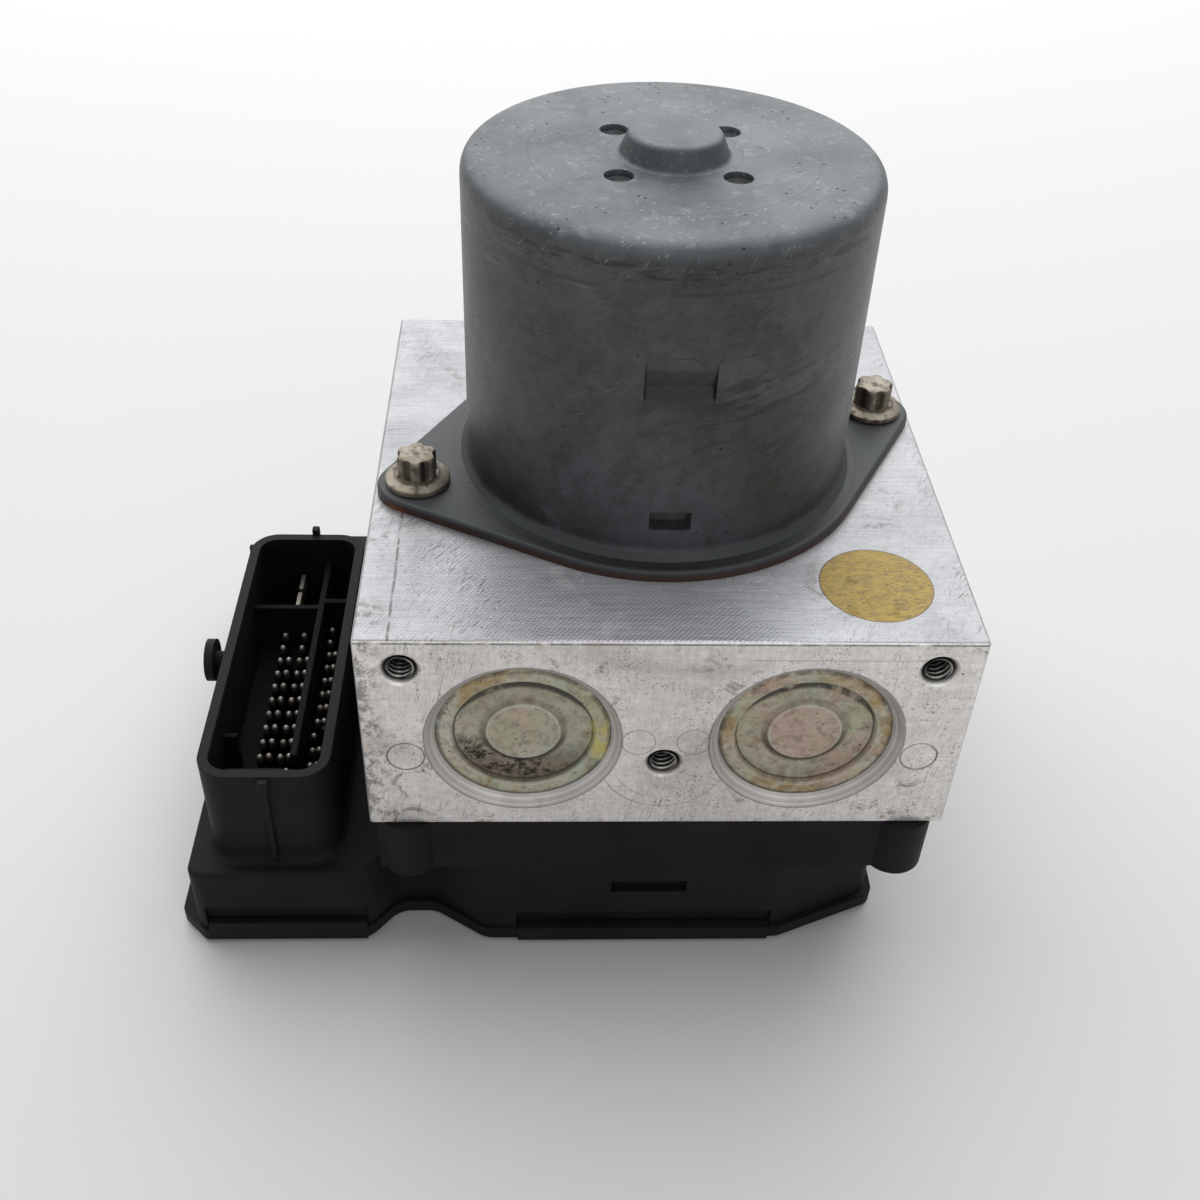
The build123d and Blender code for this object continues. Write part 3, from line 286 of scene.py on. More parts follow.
def canFinish(look):
    f = Finish("canCoat", look, Metallic=0.3, Specular_IOR_Level=0.5)
    radius, level = around(f, (0.0, motorY)), f.z - blockTop * mm
    roofMask = level.rise("roofEdge")
    flangeMask = level.fall("flangeTop")
    run = (f.y - motorY * mm).angleFrom(f.x) * (canRadius * mm)
    clouds = f.noise(34, 5, 0.62, warp=0.7)
    broad = f.noise(17, 2)
    fine = f.noise(420, 4, 0.7)
    # wall: cool and warm clouds, with level and leaning scratches
    f.tone = f.mix(broad.rise(0.38, 0.62), "coolSide", "warmSide")
    f.coat((clouds.rise(0.34, 0.64) * 0.68 + fine.rise(0.4, 0.66) * 0.38).least(1.0), "sideDark")
    worn = f.noise(60, 3, 0.6, warp=0.8).rise(0.5, 0.66)
    levelCuts = scratches(f, run, level, "levelCuts") * worn
    leaningCuts = scratches(f, run, level, "leaningCuts")
    steepCuts = scratches(f, run, level, "steepCuts")
    f.coat(levelCuts * 0.7, "rubAndShade")
    f.coat(leaningCuts * 0.42, "paleCut")
    f.coat(steepCuts * worn * 0.75, "rubAndShade")
    wall = f.tone
    # roof: blue-grey coat in soft mottles, faint press rings, pale flecks and hair scratches
    rings = (radius / 0.00105 + f.noise(35, 2) * 3).wave()
    mottle = f.noise(95, 5, 0.65, warp=0.5)
    shade = clouds.rise(0.28, 0.68) * 0.55 + mottle.rise(0.36, 0.64) * 0.42 + rings * 0.08
    f.tone = f.mix(shade, "roof", "roofDark")
    f.coat(f.noise(330, 3, 0.6).rise(0.56, 0.7) * 0.3, "roofPale")
    ringLines = radius.band("outerRing") * broad.rise(0.35, 0.6)
    ringLines = ringLines.most(radius.band("innerRing"))
    ringLines = ringLines.most(radius.band("faintRing") * 0.5)
    f.coat(ringLines * 0.55, "ringLine")
    roofCuts = scratches(f, f.x, f.y, "roofCuts") + scratches(f, f.x, f.y, "crossRoofCuts")
    flecks = specks(f, 640, 0.19, f.noise(110, 3).rise(0.47, 0.57))
    f.coat((roofCuts * 0.62 + flecks * 0.5).least(0.8), "dust")
    f.tone = f.mix(roofMask, wall, f.tone)
    f.coat(level.rise("nubTop") * 0.22, "sideDark")
    # painted shade on the nub's wall and in the pressed dimples
    nubWall = radius.band(0.0083, 0.0016, 0.0006) * level.rise(0.0584, 0.0589)
    f.coat(nubWall * level.fall(0.061, 0.0618) * 0.45, "sideDark")
    sunken = radius.band(0.0134, 0.0062, 0.0004) * level.fall(0.0574, 0.0582)
    f.coat(sunken * level.rise(0.0555, 0.0565) * 0.5, "sideDark")
    # shoulder rubbed dark in patches, a thin dark line below it, bright knocks across it
    rubbed = f.noise(1.0, 4, 0.72, f.vector(run * 120, level * 700, 0.0), 0.3).rise(0.5, 0.6)
    f.coat(level.band("shoulder") * rubbed * 0.72, "rubAndShade")
    f.coat(level.band("lowLine") * f.noise(55, 3).rise(0.45, 0.6) * 0.4, "rubAndShade")
    knocks = level.band("knockBand") * scratches(f, run, level, "knocks")
    f.coat(knocks * 0.6, "dust")
    # pocket: near-black painted lines stand in for the shade in the slits at its sides; a painted
    # shadow in and below the crease, lighter painted shade on the slope above it
    front = (f.y + 0.01).fall(0.0, 0.002)
    slitShadows = abs(f.x).band(0.00552, 0.00028, 0.00014) * level.band("slitBand") * front
    f.coat(slitShadows * 0.95, "slitShade")
    crease = abs(f.x).fall(0.0053, 0.0056) * level.rise(0.0296, 0.0336)
    crease = crease * level.fall("pocketCrease") * front
    slopeShade = abs(f.x).fall(0.0052, 0.0055) * level.rise("pocketCrease")
    slopeShade = slopeShade * level.fall(0.0378, 0.0384) * front
    f.coat((crease * 0.8).most(slopeShade * 0.42), "rubAndShade")
    # grime along the foot of the wall, thickest at its left
    foot = level.fall(0.004, 0.021) * level.fall(0.056, 0.058) * level.rise(0.003, 0.0038)
    foot = foot * (0.35 + 0.65 * f.x.fall(-0.034, 0.002))
    f.coat(foot * f.noise(70, 4, 0.7, warp=0.5).rise(0.34, 0.58) * 0.84, "rubAndShade")
    # tan drag marks under the shoulder, most of them on the left
    streaks = f.noise(1.0, 4, 0.7, f.vector(run * 95, level * 1500, 1.0), 0.4).rise(0.53, 0.66)
    drag = level.band("dragBand") * streaks * (0.2 + 0.8 * f.x.fall(-0.025, 0.004))
    f.coat(drag * 0.5, "drag")
    # grime wiped slantwise low on the wall beside the stop
    smear = f.noise(1.0, 4, 0.7, f.vector(run * 60, level * 420 - run * 70, 0.0)).rise(0.48, 0.6)
    beside = (run / (canRadius * mm) + 1.17).band(0.0, 0.62, 0.3)
    f.coat(beside * level.band("smearBand") * smear * 0.75, "rubAndShade")
    # pits and dust specks all over
    pits = specks(f, 480, 0.17, f.noise(75, 3, warp=0.5).rise(0.5, 0.6))
    f.coat(pits * 0.85, "pit")
    f.coat(specks(f, 880, 0.1, f.noise(130, 2).rise(0.55, 0.66)) * 0.45, "dust")
    # flange: plain dark coat, its cut edge rusted
    flange = f.mix(clouds.rise(0.3, 0.7) * 0.5, "flange", "flangePale")
    flange = f.mix(radius.band(0.0378, 0.0004, 0.0004) * 0.5, flange, "rubAndShade")
    f.coat(flangeMask, flange)
    rust = f.mix(f.noise(60, 2).rise(0.57, 0.7), "rust", "rustBright")
    f.coat(level.fall("rustTop") * f.noise(170, 3).rise(0.2, 0.45), rust)
    rough = 0.34 + clouds * 0.16 + roofMask * 0.1 + pits * 0.2 + flangeMask * 0.08
    grain = fine * 16e-6 + clouds * 50e-6 + mottle * roofMask * 30e-6
    grain = grain - ringLines * roofMask * 20e-6
    cuts = (levelCuts + leaningCuts * 0.6 + steepCuts) * (1 - roofMask) * 12e-6
    cuts = cuts + roofCuts * roofMask * 10e-6
    return f.finished(rough, grain - cuts - pits * 40e-6 - knocks * 30e-6)


blockLook = {
    "metal": (0.47, 0.472, 0.48),
    "roomReflection": (0.76, 0.78, 0.83),
    "dull": (0.27, 0.275, 0.29),
    # front face tones: painted lighter than the top, as painted light
    "litFaceMetal": (0.98, 0.955, 0.93),
    "litFaceDull": (0.68, 0.65, 0.62),
    "smear": (0.36, 0.29, 0.24),
    "stain": (0.23, 0.17, 0.12),
    "pit": (0.035, 0.03, 0.026),
    "grit": (0.11, 0.09, 0.075),
    "cut": (0.1, 0.088, 0.08),
    "seam": (0.095, 0.085, 0.08),
    "corner": (0.13, 0.105, 0.085),
    "scribed": (0.11, 0.095, 0.085),
    "lip": (0.7, 0.675, 0.645),
    "lipDark": (0.3, 0.285, 0.27),
    "mouthShade": (0.045, 0.04, 0.036),
    "dot": (0.5, 0.34, 0.05),
    "dotDark": (0.3, 0.2, 0.045),
    "dotChip": (0.1, 0.085, 0.065),
    "dotRim": (0.11, 0.085, 0.05),
    # metres between which a mask turns
    "topEdge": (0.0771, 0.07735),
    "faceDepth": (-0.0505, -0.049),
    "faceSides": (0.05125, 0.0514),
    # far centres of the cutter's arcs in millimetres, and the phase step of a line in metres
    "topCutter": (-60, -150),
    "counterCutter": (110, -140),
    "topStep": 0.000105,
    "faceCutter": (-120, -20),
    "faceStep": 0.000115,
    # scratches: lean, length, width and the noise level above which they show
    "topCuts": (0.9, 0.003, 0.00024, 0.6),
    "steepTopCuts": (1.25, 0.004, 0.0002, 0.62),
    "faceCuts": (1.35, 0.006, 0.00017, 0.62),
    "levelFaceCuts": (0.06, 0.007, 0.00014, 0.63),
    "chips": (0.15, 0.0009, 0.00028, 0.56),
    # millimetres
    "dotPlace": (35.3, -37.6),
    "dotRadius": 9.6,
    "cornerPlace": (-49.8, -45.5),
    "seamX": -45.8,
    "plugs": ((-44.2, 51.1), (44.2, 51.1)),
    "stamps": ((-4.6, 54.6), (4.9, 54.6)),
    # rings on the front face: radius, width, softness
    "outerScribe": (0.0108, 0.00022, 0.0002),
    "innerScribe": (0.0086, 0.00018, 0.0002),
    "stampRing": (0.0029, 0.00022, 0.0002),
    "plugRing": (0.0032, 0.0003, 0.0002),
    "lipGroove": (0.0168, 0.0003, 0.0002),
    "lipLine": (0.0161, 0.00016, 0.00014),
}


def blockFinish(look):
    f = Finish("milledBlock", look)
    topMask = f.z.rise("topEdge")
    faceMask = f.y.fall("faceDepth") * (1 - topMask) * abs(f.x).fall("faceSides")
    # cutter marks: arcs of large circles; on the top two passes cross each other in patches
    arcs = (around(f, look["topCutter"]) / look["topStep"]).wave()
    counter = (around(f, look["counterCutter"]) / look["topStep"]).wave()
    woven = f.noise(24, 3, 0.5, warp=0.6).rise(0.44, 0.56)
    brushed = f.noise(1.0, 4, 0.65, f.stretched(110, 3200, 110)).rise(0.4, 0.6)
    topLines = arcs * 0.45 + counter * woven * 0.85 + brushed * 0.6
    upright = f.noise(1.0, 4, 0.65, f.stretched(2600, 200, 150)).rise(0.4, 0.6)
    level = f.noise(1.0, 3, 0.6, f.stretched(120, 200, 2800)).rise(0.42, 0.62)
    faceArcs = (onFace(f, look["faceCutter"]) / look["faceStep"]).wave()
    faceLines = upright * 0.55 + level * 0.35 + faceArcs * 0.2
    cloud = f.noise(52, 5, 0.62, warp=0.8)
    small = f.noise(300, 4, 0.7, warp=0.4)
    sparkle = f.noise(950, 3, 0.7).rise(0.38, 0.62)
    shade = cloud.rise(0.38, 0.66) * 0.3 + topLines * 0.42 + sparkle * 0.16
    f.tone = f.mix(shade.least(1.0), "metal", "dull")
    # painted reflection: brighter in front of the motor, standing in for the pale room that the
    # top mirrors there
    shaded = abs(f.x).fall(0.012, 0.038) * f.y.fall(-0.03, -0.016)
    f.coat(shaded * (0.95 - topLines * 0.5).most(0.0), "roomReflection")
    # front face: the same milled metal painted lighter than the top, as painted light standing in
    # for the pale floor it mirrors
    shade = cloud.rise(0.32, 0.68) * 0.22 + f.noise(21, 2).rise(0.35, 0.65) * 0.22
    shade = shade + faceLines * 0.42 + small.rise(0.45, 0.65) * 0.18 + sparkle * 0.28
    f.coat(faceMask, f.mix(shade, "litFaceMetal", "litFaceDull"))
    # thin warm smears, brown smudges and dark pits, most of them on the front face
    smear = f.noise(1.0, 4, 0.6, f.stretched(30, 60, 60), 0.8).rise(0.5, 0.72)
    f.coat(smear * (faceMask * 0.34 + 0.05), "smear")
    smudge = f.noise(150, 5, 0.72, warp=1.0).rise(0.55, 0.68) * f.noise(28, 2).rise(0.45, 0.6)
    f.coat(smudge * (faceMask * 0.62 + 0.2), "stain")
    grit = specks(f, 620, 0.24, f.noise(70, 4, 0.7, warp=0.6).rise(0.52, 0.6))
    pepper = specks(f, 1450, 0.34, f.noise(95, 4, 0.7, warp=0.6).rise(0.44, 0.58))
    pits = specks(f, 330, 0.11, f.noise(45, 3).rise(0.5, 0.6))
    spots = ((grit * 0.45).most(pepper * 0.45) + pits).least(1.0)
    f.coat(spots * (faceMask * 0.7 + 0.25), "pit")
    # peppered more closely along the left edge of the front face
    edge = (f.x + 0.0515).fall(0.001, 0.0065) * faceMask
    f.coat(edge * f.noise(540, 4, 0.75).rise(0.46, 0.58) * 0.62, "grit")
    # dark dull strokes in patches
    patch = f.noise(38, 3, 0.6, warp=0.5).rise(0.5, 0.6)
    topCuts = scratches(f, f.x, f.y, "topCuts") + scratches(f, f.x, f.y, "steepTopCuts")
    faceCuts = scratches(f, f.x, f.z, "faceCuts")
    faceCuts = faceCuts + scratches(f, f.x, f.z, "levelFaceCuts") * 0.7
    f.coat((topCuts * topMask * 0.8 + faceCuts * faceMask * 0.7) * patch, "cut")
    # seam between two cutter passes on the top face, with torn metal along it
    wander = (f.noise(90, 2) - 0.5) * 0.0006
    seam = abs(f.x - look["seamX"] * mm + wander).band(0.0, 0.00042, 0.0003) * topMask
    seam = seam * f.y.fall(-0.02, -0.012) * f.noise(260, 3, 0.7).rise(0.36, 0.52)
    f.coat(seam * 0.8, "seam")
    corner = around(f, look["cornerPlace"]).fall(0.0018, 0.0046)
    f.coat(corner * f.noise(420, 4, 0.7).rise(0.44, 0.58) * topMask * 0.7, "corner")
    # dark broken line along the upper front edge, dirt along the lower one
    upperEdgeLine = f.z.band(0.07685, 0.0004, 0.0002) * faceMask
    upperEdgeLine = upperEdgeLine * f.noise(1.0, 3, 0.6, f.stretched(260, 1, 1)).rise(0.3, 0.5)
    foot = f.z.fall(0.034, 0.0358) * faceMask * f.noise(180, 4, 0.7).rise(0.45, 0.65)
    f.coat(upperEdgeLine * 0.62 + foot * 0.3, "pit")
    # long shallow scratch above the right cap
    long = f.z.band(0.0735, 0.00018, 0.0002) * f.x.band(0.0275, 0.03, 0.003) * faceMask
    f.coat(long * 0.5, "stain")
    # circles scribed round the centre thread, worn away in places, and small bare stamped rings
    centre = onFace(f, threadPlaces["centre"])
    faded = f.noise(85, 3, 0.6, warp=0.4)
    scribed = centre.band("outerScribe") * f.z.fall(0.042, 0.05)
    scribed = scribed * faded.rise(0.4, 0.52) * 0.7
    scribed = scribed.most(centre.band("innerScribe") * faded.rise(0.48, 0.6) * 0.45)
    for place in look["stamps"]:
        scribed = scribed.most(onFace(f, place).band("stampRing") * (0.45 + faded * 0.5))
    for place in look["plugs"]:
        scribed = scribed.most(onFace(f, place).band("plugRing") * (0.35 + faded * 0.8))
    scribed = scribed * faceMask
    f.coat(scribed * 0.75, "scribed")
    # rolled lip round each cap: turned lines, dirt in its outer groove
    groove, lips = 0.0, 0.0
    for place in capPlaces.values():
        fromCap = onFace(f, place)
        rings = fromCap.band("lipGroove") * 0.8 + fromCap.band("lipLine") * 0.5
        groove = rings * faceMask + groove
        lips = fromCap.fall(0.0166, 0.017) + lips
        turned = (fromCap / 0.0001).wave() * 0.4 + cloud.rise(0.3, 0.7) * 0.3
        lip = f.mix(turned, "lip", "lipDark")
        f.coat(fromCap.fall(0.0166, 0.0168) * faceMask, lip)
    f.coat(groove.least(1.0) * 0.72, "pit")
    # threads: painted shade in the mouth, darker with depth
    mouths = 0.0
    for place in threadPlaces.values():
        mouths = onFace(f, place).fall(0.0029, 0.0032) * faceMask + mouths
    sunk = (f.y - faceY * mm).rise(0.0001, 0.001)
    f.coat(mouths.least(1.0) * (0.42 + 0.54 * sunk), "mouthShade")
    # round dot of thin paint, so that the cutter lines show through; its rim is dirty
    dotRadius = look["dotRadius"] * mm
    fromDot = around(f, look["dotPlace"]) + (f.noise(700, 2) - 0.5) * 0.00016
    paint = fromDot.fall(dotRadius - 80e-6, dotRadius + 40e-6) * topMask
    worn = f.noise(1.0, 5, 0.75, f.stretched(420, 1700, 1), 0.6).rise(0.44, 0.6)
    chipped = scratches(f, f.x, f.y, "chips") * f.noise(150, 3, 0.6).rise(0.46, 0.56)
    dot = f.mix(worn * 0.8 + small.rise(0.45, 0.65) * 0.3, "dot", "dotDark")
    dot = f.mix(chipped.least(1.0) * 0.75, dot, "dotChip")
    f.coat(paint * 0.96, dot)
    f.coat(fromDot.band(dotRadius, 0.00026, 0.0002) * topMask * 0.75, "dotRim")
    shine = 0.55 + faceMask * 0.25 - paint * 0.35 - smudge * 0.3 - smear * faceMask * 0.2
    f.set(Metallic=shine)
    rough = 0.34 + cloud * 0.1 + faceMask * 0.07 + smudge * 0.2 + paint * 0.1 + grit * 0.1
    rough = rough + groove.most(lips * faceMask) * 0.14
    cuts = topCuts * topMask + faceCuts * faceMask
    height = topLines * topMask * 8e-6 + faceLines * faceMask * 9.5e-6
    height = height + small * 10e-6 + sparkle * 4e-6 - cuts * 10e-6
    height = height - scribed * 40e-6 - pits * 50e-6 - pepper * 12e-6
    height = height - seam * 30e-6 + paint * 20e-6 - groove * 30e-6
    return f.finished(rough, height, edge=0.0003)


capLook = {
    "grey": (0.66, 0.62, 0.52),
    "green": (0.5, 0.53, 0.38),
    "rose": (0.6, 0.42, 0.35),
    "teal": (0.4, 0.6, 0.54),
    "ochre": (0.44, 0.3, 0.13),
    "brown": (0.17, 0.115, 0.075),
    "black": (0.024, 0.02, 0.016),
    "stepDirt": (0.085, 0.06, 0.042),
    "edgeHighlight": (0.66, 0.72, 0.64),
    "edgeDirt": (0.075, 0.055, 0.038),
    "yellow": (0.66, 0.57, 0.15),
    # metres from the cap's axis between which a mask turns
    "disc": (0.0063, 0.0067),
    "rim": (0.0119, 0.0123),
    # rings: radius, width, softness
    "wall": (0.01185, 0.00022, 0.0002),
    "wallLine": (0.01235, 0.00014, 0.00014),
    "discFoot": (0.007, 0.0011, 0.0009),
    "discEdge": (0.00622, 0.00035, 0.0003),
    "rimEdge": (0.01245, 0.00035, 0.0003),
    "crustRing": (0.0092, 0.005, 0.0016),
    "outerRing": (0.0147, 0.0009, 0.0006),
    # how strongly each cap is coloured and how much painted shade its hollow gets, and its own
    # shift of the noise
    "left": {
        "shift": 0.31, "rose": 0.45, "discRose": 0.2, "teal": 0.75, "crust": 1.0,
        "yellow": 0.8, "hollow": 0.12, "foot": 0.62,
    },
    "right": {
        "shift": 0.77, "rose": 0.85, "discRose": 0.6, "teal": 0.45, "crust": 0.1,
        "yellow": 0.0, "hollow": 0.02, "foot": 0.16,
    },
}


def capFinish(name, side, look):
    f = Finish(name, look, Metallic=0.35)
    own = look[side]
    middleX, middleZ = capPlaces[side]
    east, rise = f.x - middleX * mm, f.z - middleZ * mm
    radius = (east ** 2 + rise ** 2) ** 0.5
    shift = (own["shift"], 0, own["shift"])
    moved = f.add("ShaderNodeMapping", values={"Vector": f.place, "Location": shift})
    fine = f.noise(520, 5, 0.7, moved, 0.5)
    disc = radius.fall("disc")
    rim = radius.rise("rim")
    down = 0 - rise
    # chromate gone patchy: grey and green ground, then rose, teal and ochre, brown last
    ground = f.noise(62, 5, 0.68, moved, 0.5).rise(0.36, 0.62)
    f.tone = f.mix(ground, "grey", "green")
    f.coat(f.noise(88, 5, 0.7, moved, 0.7).rise(0.44, 0.66) * own["rose"], "rose")
    f.coat(disc * own["discRose"], "rose")
    f.coat(f.noise(70, 5, 0.7, moved, 1.1).rise(0.54, 0.72) * own["teal"], "teal")
    ochre = f.noise(95, 5, 0.7, moved, 0.6).rise(0.46, 0.66)
    f.coat(ochre * (rim * 0.75 + 0.25), "ochre")
    f.coat(fine.rise(0.43, 0.66) * 0.5, "brown")
    # painted shade over the hollow ring between disc and rim, more towards its top under the rim;
    # the darkening towards its bottom is dirt
    hollow = (1 - rim) * (1 - disc)
    shade = own["hollow"] + own["foot"] * down.rise(0.0, 0.0095) + 0.16 * rise.rise(0.002, 0.0115)
    f.coat(hollow * shade, "brown")
    # painted shade in the steps: a dark line all round the wall and a painted shadow under the rim
    # at the top; dirt round the disc's foot
    wall = radius.band("wall") + radius.band("wallLine") * 0.5
    upper = (radius + 0.0022 * rise.rise(0.001, 0.01) - 0.0118).rise(0.0, 0.0009)
    upper = upper * (1 - rim) * rise.rise(0.001, 0.005)
    upper = upper * f.noise(230, 4, 0.7, moved).rise(0.26, 0.46)
    f.coat((wall * 0.88 + upper * 0.86).least(0.93), "black")
    lower = radius.band("discFoot") * (0.35 + 0.65 * down.rise(-0.002, 0.004))
    f.coat(lower * 0.92, "stepDirt")
    # painted highlights along the disc's edge and the rim's inner edge
    edgeGlints = radius.band("discEdge") + radius.band("rimEdge") * 0.6
    f.coat(edgeGlints * 0.45, "edgeHighlight")
    # crust that settled low in the ring, dirt along the outer edge
    crust = radius.band("crustRing") * f.noise(380, 5, 0.78, moved, 0.5).rise(0.46, 0.56)
    crust = crust * (down - east * 0.35).rise(0.003, 0.008) * own["crust"]
    f.coat(crust.least(1.0) * 0.92, "black")
    dirt = f.noise(260, 4, 0.7, moved).rise(0.38, 0.55) + (down - east * 0.6).rise(0.004, 0.012)
    f.coat(radius.band("outerRing") * dirt.least(1.0) * 0.62, "edgeDirt")
    dots = specks(f, 780, 0.22, f.noise(140, 3, 0.6, moved).rise(0.5, 0.62))
    f.coat(dots * 0.75, "black")
    # a patch of fresh yellow at the right of the rim
    patch = (east - 0.013).band(0.0, 0.0026, 0.0012) * (rise + 0.0012).band(0.0, 0.0085, 0.003)
    patch = patch * f.noise(240, 4, 0.7, moved, 1.0).rise(0.44, 0.52)
    f.coat(patch * own["yellow"], "yellow")
    turned = (radius / 60e-6).wave()
    height = turned * 3e-6 + fine * 22e-6 - dots * 30e-6 + crust * 50e-6
    return f.finished(0.4 + fine * 0.2 + hollow * 0.08 + crust * 0.3, height)


boltLook = {
    "plate": (0.28, 0.25, 0.2),
    "plateDark": (0.175, 0.155, 0.12),
    "fluteShade": (0.045, 0.034, 0.024),
    "grime": (0.065, 0.045, 0.03),
    # metres between which a mask turns: from the bolt's axis, and above the block
    "lobes": (0.00318, 0.00362),
    "headFoot": (0.0034, 0.0039),
    "headTop": (0.00765, 0.00785),
    "flangeTop": (0.0029, 0.0036),
}


def boltFinish(look):
    # clouded plating, painted dark between the lobes and round the foot of the head, as painted
    # shade
    f = Finish("boltPlate", look, Metallic=0.85)
    cloud = f.noise(260, 4, 0.6, warp=0.6)
    grime = f.noise(480, 4, 0.72).rise(0.5, 0.64)
    f.tone = f.mix(cloud.rise(0.32, 0.68), "plate", "plateDark")
    near, far = (around(f, (east, motorY + north)) for east, north in boltPlaces)
    fromAxis, height = near.least(far), f.z - blockTop * mm
    flutes = fromAxis.fall("lobes") * height.rise("headFoot")
    flutes = flutes * height.fall("headTop")
    root = fromAxis.band(0.004, 0.0007, 0.0004) * height.band(0.0039, 0.0008, 0.0004)
    f.coat((flutes * 0.8).most(root * 0.7), "fluteShade")
    f.coat(grime * (0.55 + height.fall("flangeTop") * 0.3), "grime")
    height = f.noise(1100, 3) * 20e-6 + cloud * 30e-6 - grime * 10e-6
    return f.finished(0.38 + cloud * 0.14 + grime * 0.2, height)


threadLook = {
    "crest": (0.46, 0.44, 0.41),
    "deepShade": (0.012, 0.011, 0.01),
    # metres from the hole's axis, and behind the front face
    "ridge": (0.00212, 0.00236),
    "depth": (0.0002, 0.0052),
}


def threadFinish(look):
    # bright crests near the mouth; painted shade in the thread roots, darker further into the hole
    f = Finish("threadWall", look, Metallic=0.9)
    depth = (f.y - faceY * mm).rise("depth")
    grime = f.noise(500, 3, 0.6)
    left, right, centre = (onFace(f, place) for place in threadPlaces.values())
    sunk = left.least(right).least(centre).rise("ridge")
    shade = sunk * 0.85 + depth * 0.65 + grime.rise(0.4, 0.7) * 0.2
    f.tone = f.mix(shade.least(1.0), "crest", "deepShade")
    return f.finished(0.3 + grime * 0.2, grime * 20e-6)


plasticLook = {
    "base": (0.009, 0.0096, 0.0114),
    "pale": (0.015, 0.0158, 0.018),
    "dust": (0.12, 0.12, 0.12),
    "inside": (0.003, 0.003, 0.0036),
    # inside of the plug socket: x, y and z, each from and to, with the softness of its ends
    "room": ((-81.0, -60.4, 0.4), (-46.6, 21.0, 0.4), (20.0, 40.9, 2.0)),
    "scuffs": (1.2, 0.006, 0.0003, 0.67),
}


def plasticFinish(look):
    f = Finish("blackNylon", look, Specular_IOR_Level=0.11)
    cloud = f.noise(48, 4, 0.6, warp=0.6)
    grain = f.noise(1300, 3)
    dust = specks(f, 820, 0.13, f.noise(100, 2).rise(0.54, 0.64))
    scuff = scratches(f, f.x, f.z, "scuffs") * f.noise(50, 2).rise(0.5, 0.6)
    f.tone = f.mix(cloud.rise(0.3, 0.7), "base", "pale")
    f.coat(dust * 0.22 + scuff * 0.08, "dust")
    # no light comes back from inside the plug socket
    inside = 1.0
    for along, (low, high, soft) in zip((f.x, f.y, f.z), look["room"]):
        inside = along.rise(low * mm, (low + soft) * mm) * inside
        inside = inside * along.fall((high - soft) * mm, high * mm)
    f.coat(inside * 0.6, "inside")
    rough = 0.46 + cloud * 0.16 + grain * 0.06 + inside * 0.2
    height = grain * 12e-6 + cloud * 30e-6 - scuff * 10e-6
    return f.finished(rough, height, edge=0.00035)


contactLook = {
    "plate": (0.29, 0.262, 0.235),
    "worn": (0.17, 0.15, 0.13),
    "shade": (0.016, 0.014, 0.013),
    # heights between which a pin comes out of the shade
    "tip": (0.029, 0.0313),
}


def contactFinish(look):
    # plating worn grey on the rounded tips, shaded further down
    f = Finish("contactPlate", look, Metallic=0.8)
    tip = f.z.rise("tip")
    cloud = f.noise(900, 3)
    plate = f.mix(cloud.rise(0.3, 0.7), "plate", "worn")
    f.tone = f.mix(tip, "shade", plate)
    return f.finished(0.36 + cloud * 0.2, cloud * 10e-6)


def plainFinish(name, metallic, light, dark, rough, grain, stretch=(1, 1, 1)):
    # two tones of cloud over fine grain; moulded and sintered stuff is grainier than metal
    f = Finish(name, Metallic=1.0) if metallic else Finish(name, Specular_IOR_Level=0.45)
    cloud = f.noise(grain, 4, 0.6, f.stretched(*stretch), 0.4)
    fine = f.noise(grain * 4, 2)
    f.tone = f.mix(cloud.rise(0.3, 0.7), light, dark)
    height = fine * 8e-6 + cloud * 10e-6 if metallic else fine * 20e-6
    return f.finished(rough + cloud * 0.15, height)


windingLook = {"wire": (0.62, 0.25, 0.1), "gap": (0.26, 0.08, 0.03), "step": 0.0001}


def windingFinish(look):
    # enamelled wires lying round the rotor's axis
    f = Finish("enamelledWire", look, Metallic=0.7)
    wires = (f.noise(70, 2) * 6 + around(f, (0.0, motorY)) / look["step"]).wave()
    f.tone = f.mix(wires, "wire", "gap")
    return f.finished(0.25 + wires * 0.2, wires * 80e-6)


print("finishes")
canCoat = canFinish(canLook)
milledBlock = blockFinish(blockLook)
capFinishes = {
    "left": capFinish("capChromateLeft", "left", capLook),
    "right": capFinish("capChromateRight", "right", capLook),
}
boltPlate = boltFinish(boltLook)
blackNylon = plasticFinish(plasticLook)
threadWall = threadFinish(threadLook)
contactPlate = contactFinish(contactLook)
enamelledWire = windingFinish(windingLook)

